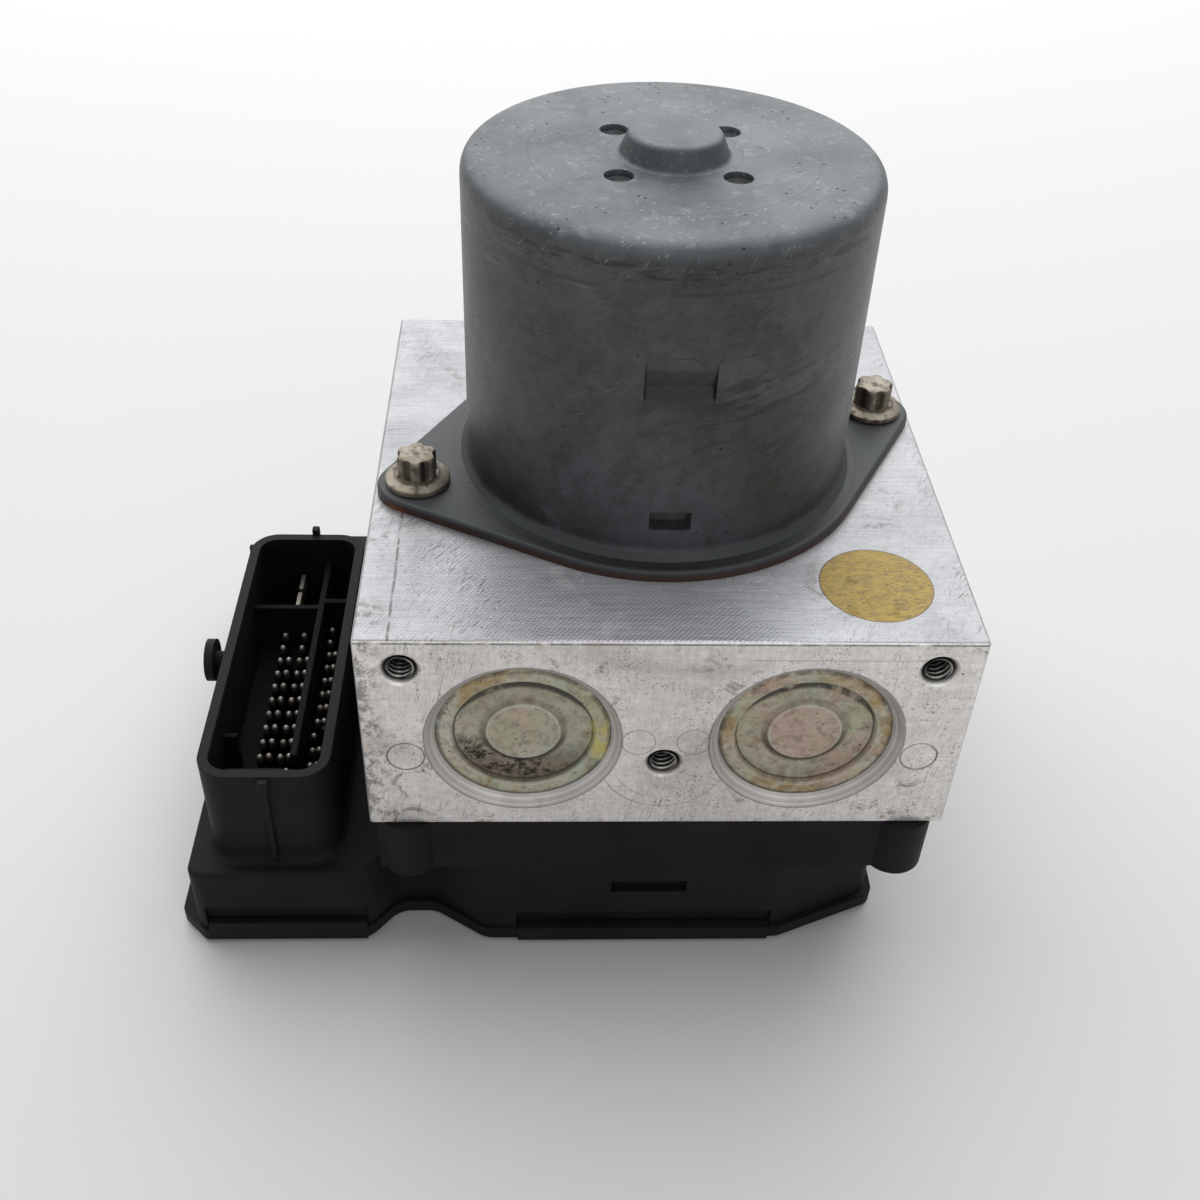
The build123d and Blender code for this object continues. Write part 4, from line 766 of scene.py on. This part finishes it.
# metal or not, light tone, dark tone, roughness, grain, and stretch of the grain
plainStuff = {
    "groundSteel": (True, (0.58, 0.58, 0.59), (0.42, 0.42, 0.43), 0.32, 400),
    "plugSteel": (True, (0.46, 0.46, 0.46), (0.3, 0.29, 0.28), 0.38, 400),
    "pistonAlloy": (True, (0.66, 0.66, 0.64), (0.52, 0.52, 0.5), 0.3, 400),
    "springWire": (True, (0.34, 0.33, 0.31), (0.2, 0.19, 0.18), 0.35, 400),
    "commutatorCopper": (True, (0.7, 0.36, 0.2), (0.36, 0.16, 0.09), 0.3, 400),
    "laminations": (True, (0.34, 0.34, 0.35), (0.16, 0.16, 0.17), 0.42, 220, (1, 1, 12)),
    "ferrite": (False, (0.045, 0.045, 0.048), (0.02, 0.02, 0.022), 0.55, 300),
    "carbon": (False, (0.03, 0.03, 0.03), (0.012, 0.012, 0.012), 0.5, 700),
    "phenolic": (False, (0.1, 0.075, 0.045), (0.055, 0.04, 0.026), 0.42, 300),
    "coilMoulding": (False, (0.03, 0.03, 0.033), (0.015, 0.015, 0.017), 0.5, 300),
    "boardLaminate": (False, (0.01, 0.075, 0.028), (0.006, 0.04, 0.018), 0.22, 500),
    "sealRubber": (False, (0.02, 0.02, 0.02), (0.01, 0.01, 0.01), 0.65, 300),
}
stuff = {name: plainFinish(name, *row) for name, row in plainStuff.items()}


def placed(name, body, material, *grids):
    # each grid is (rows, columns, 3) in metres; its columns close round,
    # and a first or last row of one point closes a pole
    corners, faces, start = [], [], 0
    for grid in grids:
        rows, columns = grid.shape[:2]
        index = start + np.arange(rows * columns).reshape(rows, columns)
        after = np.roll(index, -1, axis=1)
        quads = np.stack([index[:-1], after[:-1], after[1:], index[1:]], axis=-1).reshape(-1, 4)
        corners.append(grid.reshape(-1, 3))
        faces.append(quads)
        start += rows * columns
    mesh = bpy.data.meshes.new(name)
    mesh.from_pydata(np.concatenate(corners).tolist(), [], np.concatenate(faces).tolist())
    cleanMesh(mesh)
    mesh.materials.append(material)
    piece = added(name, mesh)
    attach(piece, body)
    return piece


def cleanMesh(mesh):
    # poles are merged to one point, faces made to point outwards, and sharp edges kept crisp
    work = bmesh.new()
    work.from_mesh(mesh)
    bmesh.ops.remove_doubles(work, verts=work.verts, dist=1e-7)
    bmesh.ops.recalc_face_normals(work, faces=work.faces)
    for edge in work.edges:
        edge.smooth = len(edge.link_faces) < 2 or edge.calc_face_angle() < math.radians(38)
    for face in work.faces:
        face.smooth = True
    work.to_mesh(mesh)
    work.free()


def rounded(profile, radii, steps):
    # a profile whose corners are turned into arcs, each by points of a quadratic curve
    out = [profile[0]]
    for before, corner, after, radius in zip(profile, profile[1:], profile[2:], radii):
        before, corner, after = (np.array(p, float) for p in (before, corner, after))
        if radius:
            toBefore, toAfter = before - corner, after - corner
            first = corner + toBefore * min(radius / np.linalg.norm(toBefore), 0.5)
            last = corner + toAfter * min(radius / np.linalg.norm(toAfter), 0.5)
            t = np.linspace(0, 1, steps)[:, None]
            out += list((1 - t) ** 2 * first + 2 * t * (1 - t) * corner + t ** 2 * last)
        else:
            out.append(corner)
    out.append(profile[-1])
    return np.array(out, float)


def divided(profile, spacing):
    # the profile with extra points, so that no run is longer than the spacing at its middle
    out = [profile[:1]]
    for a, b in zip(profile, profile[1:]):
        count = max(int(np.ceil(np.linalg.norm(b - a) / spacing(*(a + b) / 2))), 1)
        out.append(a + (b - a) * (np.arange(1, count + 1) / count)[:, None])
    return np.concatenate(out)


def eased(value, low, high):
    # 0 below low, 1 above high, with soft ends
    t = np.clip((value - low) / (high - low), 0, 1)
    return t * t * (3 - 2 * t)


def circle(columns):
    # evenly spaced angles round a full turn
    return np.linspace(0, 2 * np.pi, columns, endpoint=False)


def points(x, y, z):
    # a row or a grid of points from its coordinates
    return np.stack(np.broadcast_arrays(x, y, z), axis=-1)


# all shapes are in millimetres
motorSeat = np.array([0, motorY, blockTop]) * mm
housingShape = {
    "radius": canRadius, "wall": 2.5, "roof": 58.3, "shoulder": 3.4,
    "nub": 7.6, "nubFoot": 9.2, "nubTop": 62.0, "nubInside": (6.0, 5.2),
    "flange": 39.1, "ear": 7.3, "plate": 2.0, "plateRound": 0.7, "bend": 1.3,
    # pressed dimples: radius of their ring, dimple radius, depth, height of the inner step
    "dimples": (13.4, 2.4, 1.3, 0.35),
    # stop for the magnets: width, lower edge, crease, upper edge, depth
    "pocket": (11.0, 31.4, 34.6, 38.4, 1.3),
    # window: width, lower edge, upper edge, depth
    "window": (6.4, 8.1, 11.1, 2.3),
    # rows lie close where something is pressed into the sheet: from, to, spacing
    "roofRows": (10.8, 16.1, 0.13), "pocketRows": (29.3, 39.3, 0.3),
    "windowRows": (7.4, 11.9, 0.22), "rowStep": 2.6,
    # columns in degrees: even ones, then close ones at the stop, the dimples and the ears
    "columns": (
        (0, 360, 1.5), (259, 281, 0.25), (33, 57, 0.45), (123, 147, 0.45),
        (213, 237, 0.45), (303, 327, 0.45), (7, 26, 0.6), (187, 206, 0.6),
    ),
}


def flangeReach(angle, shape, inset):
    # reach of the flange at an angle: the hull of the rim circle and the two ear circles,
    # drawn in by inset
    turn = np.linspace(0, 2 * np.pi, 7201)[:-1]
    cos, sin = np.cos(turn), np.sin(turn)
    rim, ear = shape["flange"] - inset, shape["ear"] - inset
    onEar = boltCircle * np.abs(cos) + shape["ear"] > shape["flange"]
    east = np.where(onEar, np.sign(cos) * boltCircle + ear * cos, rim * cos)
    north = np.where(onEar, ear * sin, rim * sin)
    east, north = np.append(east, east[0]), np.append(north, north[0])
    # points along the straight runs too
    part = np.linspace(0, 1, 12, endpoint=False)
    east = (east[:-1, None] + np.diff(east)[:, None] * part).ravel()
    north = (north[:-1, None] + np.diff(north)[:, None] * part).ravel()
    polar = np.mod(np.arctan2(north, east), 2 * np.pi)
    order = np.argsort(polar)
    reach = np.hypot(east, north)[order]
    return np.interp(np.mod(angle - boltAngle, 2 * np.pi), polar[order], reach, period=2 * np.pi)


def motorHousingPiece(shape):
    # surface of revolution (r cos a, r sin a, z), pressed in where the stop, the window and
    # the dimples are; the flange rows take their reach from the two-eared outline
    degrees = np.concatenate([np.arange(*run) for run in shape["columns"]])
    angle = np.radians(np.unique(np.round(degrees, 2)))
    radius, wall, roof, plate = (shape[key] for key in ("radius", "wall", "roof", "plate"))
    nubTop, bend, soft = shape["nubTop"], shape["bend"], shape["plateRound"]

    def spacing(r, level):
        onRoof, onWall = level > roof - bend, r > radius - 0.1
        onSide = [(onWall, level, name) for name in ("pocketRows", "windowRows")]
        for here, along, name in ((onRoof, r, "roofRows"), *onSide):
            low, high, close = shape[name]
            if here and low < along < high:
                return close
        return shape["rowStep"]

    def ringRow(reach, height):
        return points(reach * np.cos(angle), reach * np.sin(angle), height)

    def flangeRow(inset, height):
        return ringRow(flangeReach(angle, shape, inset), height)

    corners = [(0, nubTop), (shape["nub"], nubTop), (shape["nubFoot"], roof)]
    corners += [(r, roof) for r in (*shape["roofRows"][:2], radius)]
    levels = (*shape["pocketRows"][1::-1], *shape["windowRows"][1::-1], plate + bend)
    corners += [(radius, level) for level in levels]
    corners.append((radius + bend, plate))
    outer = rounded(corners, (0.8, 0.7, 0, 0, shape["shoulder"], 0, 0, 0, 0, bend), 10)
    outer = divided(outer, spacing)
    r = np.repeat(outer[:, :1], len(angle), axis=1)
    z = np.repeat(outer[:, 1:], len(angle), axis=1)
    x, y = r * np.cos(angle), r * np.sin(angle)
    # dimples pressed into the roof
    ring, dimple, depth, step = shape["dimples"]
    onRoof = (z > roof - 0.2) & (z < roof + 0.3)
    for k in range(4):
        turn = math.radians(45 + 90 * k)
        away = np.hypot(x - ring * math.cos(turn), y - ring * math.sin(turn))
        z = z - onRoof * depth * (1 - eased(away, dimple - 0.16, dimple + 0.02))
        inner = 1 - eased(away, dimple - 0.18, dimple - 0.1)
        z = z + onRoof * step * eased(away, dimple - 0.75, dimple - 0.6) * inner
    # stop for the magnets: the sheet slopes in from its upper edge to a crease, then back out
    onFront = (y < 0) * (r > radius - 0.01)
    width, low, crease, high, depth = shape["pocket"]
    across = 1 - eased(np.abs(x), width / 2 - 0.1, width / 2 + 0.1)
    push = onFront * across * np.interp(z, [low, crease, high], [0, depth, 0])
    # window: a deep recess with square edges
    width, low, high, depth = shape["window"]
    across = 1 - eased(np.abs(x), width / 2 - 0.05, width / 2 + 0.25)
    tall = eased(z, low - 0.2, low + 0.1) * (1 - eased(z, high - 0.1, high + 0.2))
    push = push + onFront * across * tall * depth
    sheet = points(x, y + push, z)
    # rounded edge of the flange, its underside, then the inside of the can
    turns = np.linspace(0, np.pi / 2, 6)
    rows = [flangeRow(soft * (1 - math.sin(t)), plate - soft + soft * math.cos(t)) for t in turns]
    rows += [flangeRow(0.0, 0.9), flangeRow(0.0, 0.0)]
    rows += [ringRow(radius - wall, height) for height in (0.0, 20.0, 40.0, roof - wall)]
    foot, top = shape["nubInside"]
    rows += [ringRow(foot, roof - wall), ringRow(top, nubTop - wall), ringRow(0.0, nubTop - wall)]
    grid = np.concatenate([sheet, np.stack(rows)]) * mm + motorSeat
    return placed("motorHousing", "unit", canCoat, grid)


boltShape = {
    "seat": 2.0, "flange": 5.8, "flangeHeight": 1.8, "head": 3.78, "lobe": 0.7, "height": 4.1,
    "shank": 2.42, "length": 14.0, "turns": (0.2, 0.55), "columns": 144,
}


def boltPiece(shape):
    # rows (radius, height, how far the six lobes show);
    # the wall is r - lobe ((1 - cos 6a) / 2) ** 1.5
    seat, size, flange, shank = (shape[key] for key in ("seat", "head", "flange", "shank"))
    top = seat + shape["flangeHeight"]
    head = top + shape["height"]
    rows = np.array([
        (0.0, head - 0.22, 0), (0.5, head - 0.2, 0), (0.85, head - 0.04, 0), (1.3, head, 0.1),
        (size - 0.6, head, 0.85), (size - 0.35, head - 0.08, 0.9), (size - 0.12, head - 0.35, 1),
        (size - 0.06, head - 0.9, 1), (size - 0.06, top + 0.5, 1), (size + 0.05, top + 0.15, 1),
        (size + 0.5, top - 0.02, 0.4), (flange - 0.35, top - 0.55, 0),
        (flange - 0.08, top - 0.7, 0), (flange, top - 0.95, 0), (flange, seat + 0.2, 0),
        (flange - 0.2, seat, 0), (shank, seat, 0), (shank, seat - shape["length"], 0),
        (0.0, seat - shape["length"], 0),
    ])
    angle = circle(shape["columns"])
    r = rows[:, :1] - shape["lobe"] * (0.5 - 0.5 * np.cos(6 * angle)) ** 1.5 * rows[:, 2:]
    grids = []
    for (east, north), turn in zip(boltPlaces, shape["turns"]):
        x, y = east + r * np.cos(angle + turn), north + r * np.sin(angle + turn)
        grids.append(points(x, y, rows[:, 1:2]) * mm + motorSeat)
    return placed("motorBolts", "unit", boltPlate, *grids)


capShape = {
    # turned profile: radius and depth behind the block's face, and the round of each corner
    "profile": (
        (0.0, 2.1), (5.9, 2.1), (6.35, 2.15), (6.65, 2.65), (7.2, 2.75), (11.4, 2.7), (11.95, 2.6),
        (12.15, 1.65), (12.6, 1.5), (14.4, 1.5), (14.95, 1.75), (14.95, 6.2), (11.1, 6.2),
        (11.1, 4.7), (0.0, 4.7),
    ),
    "rounds": (0.0, 0.25, 0.25, 0.3, 0.3, 0.3, 0.3, 0.25, 0.15, 0.2, 0.0, 0.0, 0.0),
    "spacing": 1.2,
    "columns": 192,
}


def capPiece(name, shape):
    # the turned profile swept round the Y direction
    profile = rounded(shape["profile"], shape["rounds"], 5)
    profile = divided(profile, lambda radius, depth: shape["spacing"])
    angle = circle(shape["columns"])
    r, depth = profile[:, :1], profile[:, 1:]
    middleX, middleZ = capPlaces[name]
    x, z = middleX + r * np.cos(angle), middleZ + r * np.sin(angle)
    grid = points(x, faceY + depth, z) * mm
    piece = placed(f"capTurned_{name}", "unit", capFinishes[name], grid)
    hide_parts(f"accumulator_cap_{name}")


threadShape = {
    "crest": 2.08, "root": 2.46, "sleeve": 2.48, "pitch": 1.0, "start": 0.55, "depth": 10.5,
    "rows": 100, "columns": 64,
}


def threadPiece(name, shape):
    # inner wall r(a, d) that swings between crest and root once a pitch, wound as a helix
    angle = circle(shape["columns"])
    middleX, middleZ = threadPlaces[name]

    def rowAt(r, depth):
        x, z = middleX + r * np.cos(angle), middleZ + r * np.sin(angle)
        return points(x, faceY + depth, z)

    depth = np.linspace(shape["start"], shape["depth"], shape["rows"])[:, None]
    phase = (depth / shape["pitch"] - angle / (2 * np.pi)) % 1
    tooth = np.clip(np.abs(phase * 2 - 1) * 1.4 - 0.2, 0, 1)
    wall = rowAt(shape["crest"] + (shape["root"] - shape["crest"]) * tooth, depth)
    sleeve = [rowAt(shape["sleeve"], shape[end])[None] for end in ("depth", "start")]
    grid = np.concatenate([wall, *sleeve, wall[:1]]) * mm
    piece = placed(f"tappedThread_{name}", "unit", threadWall, grid)


quarterTurn = np.linspace(0, np.pi / 2, 9)


def loopRow(box, corner, grown, level):
    # rounded rectangle at a level, grown outwards: quarter circles joined by straight runs
    left, right, near, far = box
    east, west, north, south = right - corner, left + corner, far - corner, near + corner
    rows = []
    for quarter, (x, y) in enumerate(((east, north), (west, north), (west, south), (east, south))):
        turn, r = quarterTurn + quarter * np.pi / 2, corner + grown
        rows.append(points(x + r * np.cos(turn), y + r * np.sin(turn), level))
    return np.concatenate(rows)


def pointRow(box, level):
    # the same number of points, all at the middle of the box
    left, right, near, far = box
    return np.tile(((left + right) / 2, (near + far) / 2, level), (4 * len(quarterTurn), 1))


socketShape = {
    "box": (-82.6, -58.8, -48.2, 22.6), "corner": 5.5,
    "foot": 19.1, "flare": 1.7, "sunk": 0.3, "under": 0.6,
    # small tabs on the shell: x from, x to, y from, y to, z from, z to
    "tabs": (
        (-71.2, -69.2, -49.7, -47.8, 38.6, 41.1),
        (-70.3, -68.8, 22.2, 24.1, 38.5, 42.7),
        (-83.2, -82.2, 18.3, 19.7, 36.0, 41.0),
    ),
    "tabCorner": 0.4, "tabSoft": 0.22,
}


def socketFoot(shape):
    # hollow fillet round the shell's foot: growth f (1 - sin t), height f (1 - cos t)
    foot, flare, sunk, under = (shape[key] for key in ("foot", "flare", "sunk", "under"))
    profile = [
        (flare * (1 - math.sin(t)), foot + 0.01 + flare * (1 - math.cos(t))) for t in quarterTurn
    ]
    profile += [(-under, foot + flare), (-under, foot - sunk), (flare, foot - sunk), profile[0]]
    rows = [loopRow(shape["box"], shape["corner"], grown, level) for grown, level in profile]
    piece = placed("socketFoot", "unit", blackNylon, np.stack(rows) * mm)


def socketTabs(shape):
    # boxes with softened edges, drawn in by the softening at both ends
    soft, grids = shape["tabSoft"], []
    for left, right, near, far, low, high in shape["tabs"]:
        box = left, right, near, far
        profile = (-soft, low), (0, low + soft), (0, high - soft), (-soft, high)
        rows = [loopRow(box, shape["tabCorner"], grown, level) for grown, level in profile]
        grids.append(np.stack([pointRow(box, low), *rows, pointRow(box, high)]) * mm)
    piece = placed("socketTabs", "unit", blackNylon, *grids)


pinShape = {
    "radius": 0.64, "tip": 31.4, "collar": (24.2, 24.0), "stem": 0.49, "foot": 8.2,
    "columns": 20, "spread": 1.6,
}


def pinPlaces(solid, shape):
    # middles of the pins, from the corners of their lower ends
    corners = np.array([solid.matrix_world @ v.co for v in solid.data.vertices]) / mm
    corners = corners[corners[:, 2] < corners[:, 2].min() + 0.01][:, :2]
    places = []
    while len(corners):
        near = np.linalg.norm(corners - corners[0], axis=1) < shape["spread"]
        places.append((corners[near].min(axis=0) + corners[near].max(axis=0)) / 2)
        corners = corners[~near]
    return places


def pinPiece(places, shape):
    # round rods with a half-ball tip: radius r cos t, height tip - r (1 - sin t)
    size, stem, foot = shape["radius"], shape["stem"], shape["foot"]
    above, below = shape["collar"]
    rows = [
        (size * math.cos(t), shape["tip"] - size * (1 - math.sin(t)))
        for t in np.linspace(np.pi / 2, 0, 7)
    ]
    rows = np.array(rows + [(size, above), (stem, below), (stem, foot), (0.0, foot)])
    turn = circle(shape["columns"])
    r, z = rows[:, :1], rows[:, 1:]
    grids = [points(x + r * np.cos(turn), y + r * np.sin(turn), z) * mm for x, y in places]
    return placed("signalPins", "unit", contactPlate, *grids)


print("pieces")
housing = motorHousingPiece(housingShape)
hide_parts("motor_housing")
bolts = boltPiece(boltShape)
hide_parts("motor_bolts")
pins = pinPiece(pinPlaces(nodes["signal_pins"], pinShape), pinShape)
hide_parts("signal_pins")
socketFoot(socketShape)
socketTabs(socketShape)
for capName in capPlaces:
    capPiece(capName, capShape)
for threadName in threadPlaces:
    threadPiece(threadName, threadShape)


wear = (
    (milledBlock, "hydraulic_block ball_plugs"),
    (canCoat, "motor_housing"),
    (boltPlate, "motor_bolts"),
    (capFinishes["left"], "accumulator_cap_left"),
    (capFinishes["right"], "accumulator_cap_right"),
    (blackNylon, "ecu_housing ecu_cover"),
    (contactPlate, "signal_pins power_blades"),
    (enamelledWire, "rotor_winding"),
    (stuff["phenolic"], "brush_plate contact_rod"),
    (stuff["ferrite"], "magnets"),
    (stuff["laminations"], "rotor_core"),
    (stuff["commutatorCopper"], "commutator"),
    (stuff["carbon"], "brushes"),
    (stuff["plugSteel"], "pump_plug_left pump_plug_right ecu_screws"),
    (stuff["pistonAlloy"], "accumulator_piston_left accumulator_piston_right"),
    (stuff["boardLaminate"], "circuit_board"),
    (stuff["sealRubber"], "ecu_seal"),
)
wornBy = {node: material for material, wearers in wear for node in wearers.split()}
solidShape = {"weld": 2e-6, "crisp": math.radians(26)}


def finishFor(node):
    if node in wornBy:
        return wornBy[node]
    if "spring" in node:
        return stuff["springWire"]
    if "coil" in node:
        return stuff["coilMoulding"]
    return stuff["groundSteel"]


def dressNode(node, solid, shape):
    # curved faces are shaded smooth, and edges sharper than the angle stay crisp
    faces = solid.data.polygons
    solid.data.materials.clear()
    solid.data.materials.append(finishFor(node))
    faces.foreach_set("use_smooth", np.ones(len(faces), bool))
    faces.foreach_set("material_index", np.zeros(len(faces), np.int32))
    solid.modifiers.new("weld", "WELD").merge_threshold = shape["weld"]
    solid.modifiers.new("crisp", "EDGE_SPLIT").split_angle = shape["crisp"]


for nodeName, nodeSolid in nodes.items():
    dressNode(nodeName, nodeSolid, solidShape)
print("solids dressed")


stageLook = {
    "floor": (0.86, 0.855, 0.85),
    "floorDark": (0.8471, 0.842175, 0.83725),
    "floorReach": 1.4,
    "floorLevel": -0.0002,
    "world": (0.8, 0.81, 0.83),
    "worldStrength": 0.22,
    # what metal sees of the pale room round the table
    "roomStrength": 0.88,
    # place, size, power
    "lamps": (((-0.05, 0.74, 1.0), 2.4, 26.0), ((0.25, -0.8, 0.75), 0.8, 1.5)),
    "aim": (0.0, 0.0, 0.06),
}


def makeFloor(look):
    reach, level = look["floorReach"], look["floorLevel"]
    mesh = bpy.data.meshes.new("floor")
    corners = ((-reach, -reach), (reach, -reach), (reach, reach), (-reach, reach))
    mesh.from_pydata([(x, y, level) for x, y in corners], [], [(0, 1, 2, 3)])
    floor = added("floor", mesh)
    paper = Finish("paperFloor", look, Specular_IOR_Level=0.2, Roughness=0.85)
    paper.set(Base_Color=paper.mix(paper.noise(3, 2), "floor", "floorDark"))
    mesh.materials.append(paper.material)


def makeWorld(look):
    # dim light on the object; the camera and what gleams see the bright room instead
    world = bpy.data.worlds.new("studio")
    bpy.context.scene.world = world
    world.use_nodes = True
    tree = world.node_tree
    room, seen = tree.nodes["Background"], tree.nodes.new("ShaderNodeBackground")
    for background, strength in ((room, look["worldStrength"]), (seen, look["roomStrength"])):
        background.inputs["Color"].default_value = (*look["world"], 1)
        background.inputs["Strength"].default_value = strength
    rays = tree.nodes.new("ShaderNodeLightPath")
    either = tree.nodes.new("ShaderNodeMath")
    either.operation = "MAXIMUM"
    chosen = tree.nodes.new("ShaderNodeMixShader")
    for source, target in (
        (rays.outputs["Is Camera Ray"], either.inputs[0]),
        (rays.outputs["Is Glossy Ray"], either.inputs[1]),
        (either.outputs[0], chosen.inputs[0]),
        (room.outputs[0], chosen.inputs[1]),
        (seen.outputs[0], chosen.inputs[2]),
        (chosen.outputs[0], tree.nodes["World Output"].inputs[0]),
    ):
        tree.links.new(source, target)


def makeLamps(look):
    for number, (place, width, power) in enumerate(look["lamps"]):
        lampData = bpy.data.lights.new(f"softbox{number}", "AREA")
        lampData.shape = "DISK"
        lampData.size = width
        lampData.energy = power
        away = np.array(place) - np.array(look["aim"])
        away /= np.linalg.norm(away)
        east = np.cross((0, 0, 1), away)
        east /= np.linalg.norm(east)
        lamp = added(f"softbox{number}", lampData)
        lamp.matrix_world = turnedTo(east, np.cross(away, east), away, place)


makeFloor(stageLook)
makeWorld(stageLook)
makeLamps(stageLook)
bpy.context.scene.view_settings.view_transform = "Standard"
print("stage")
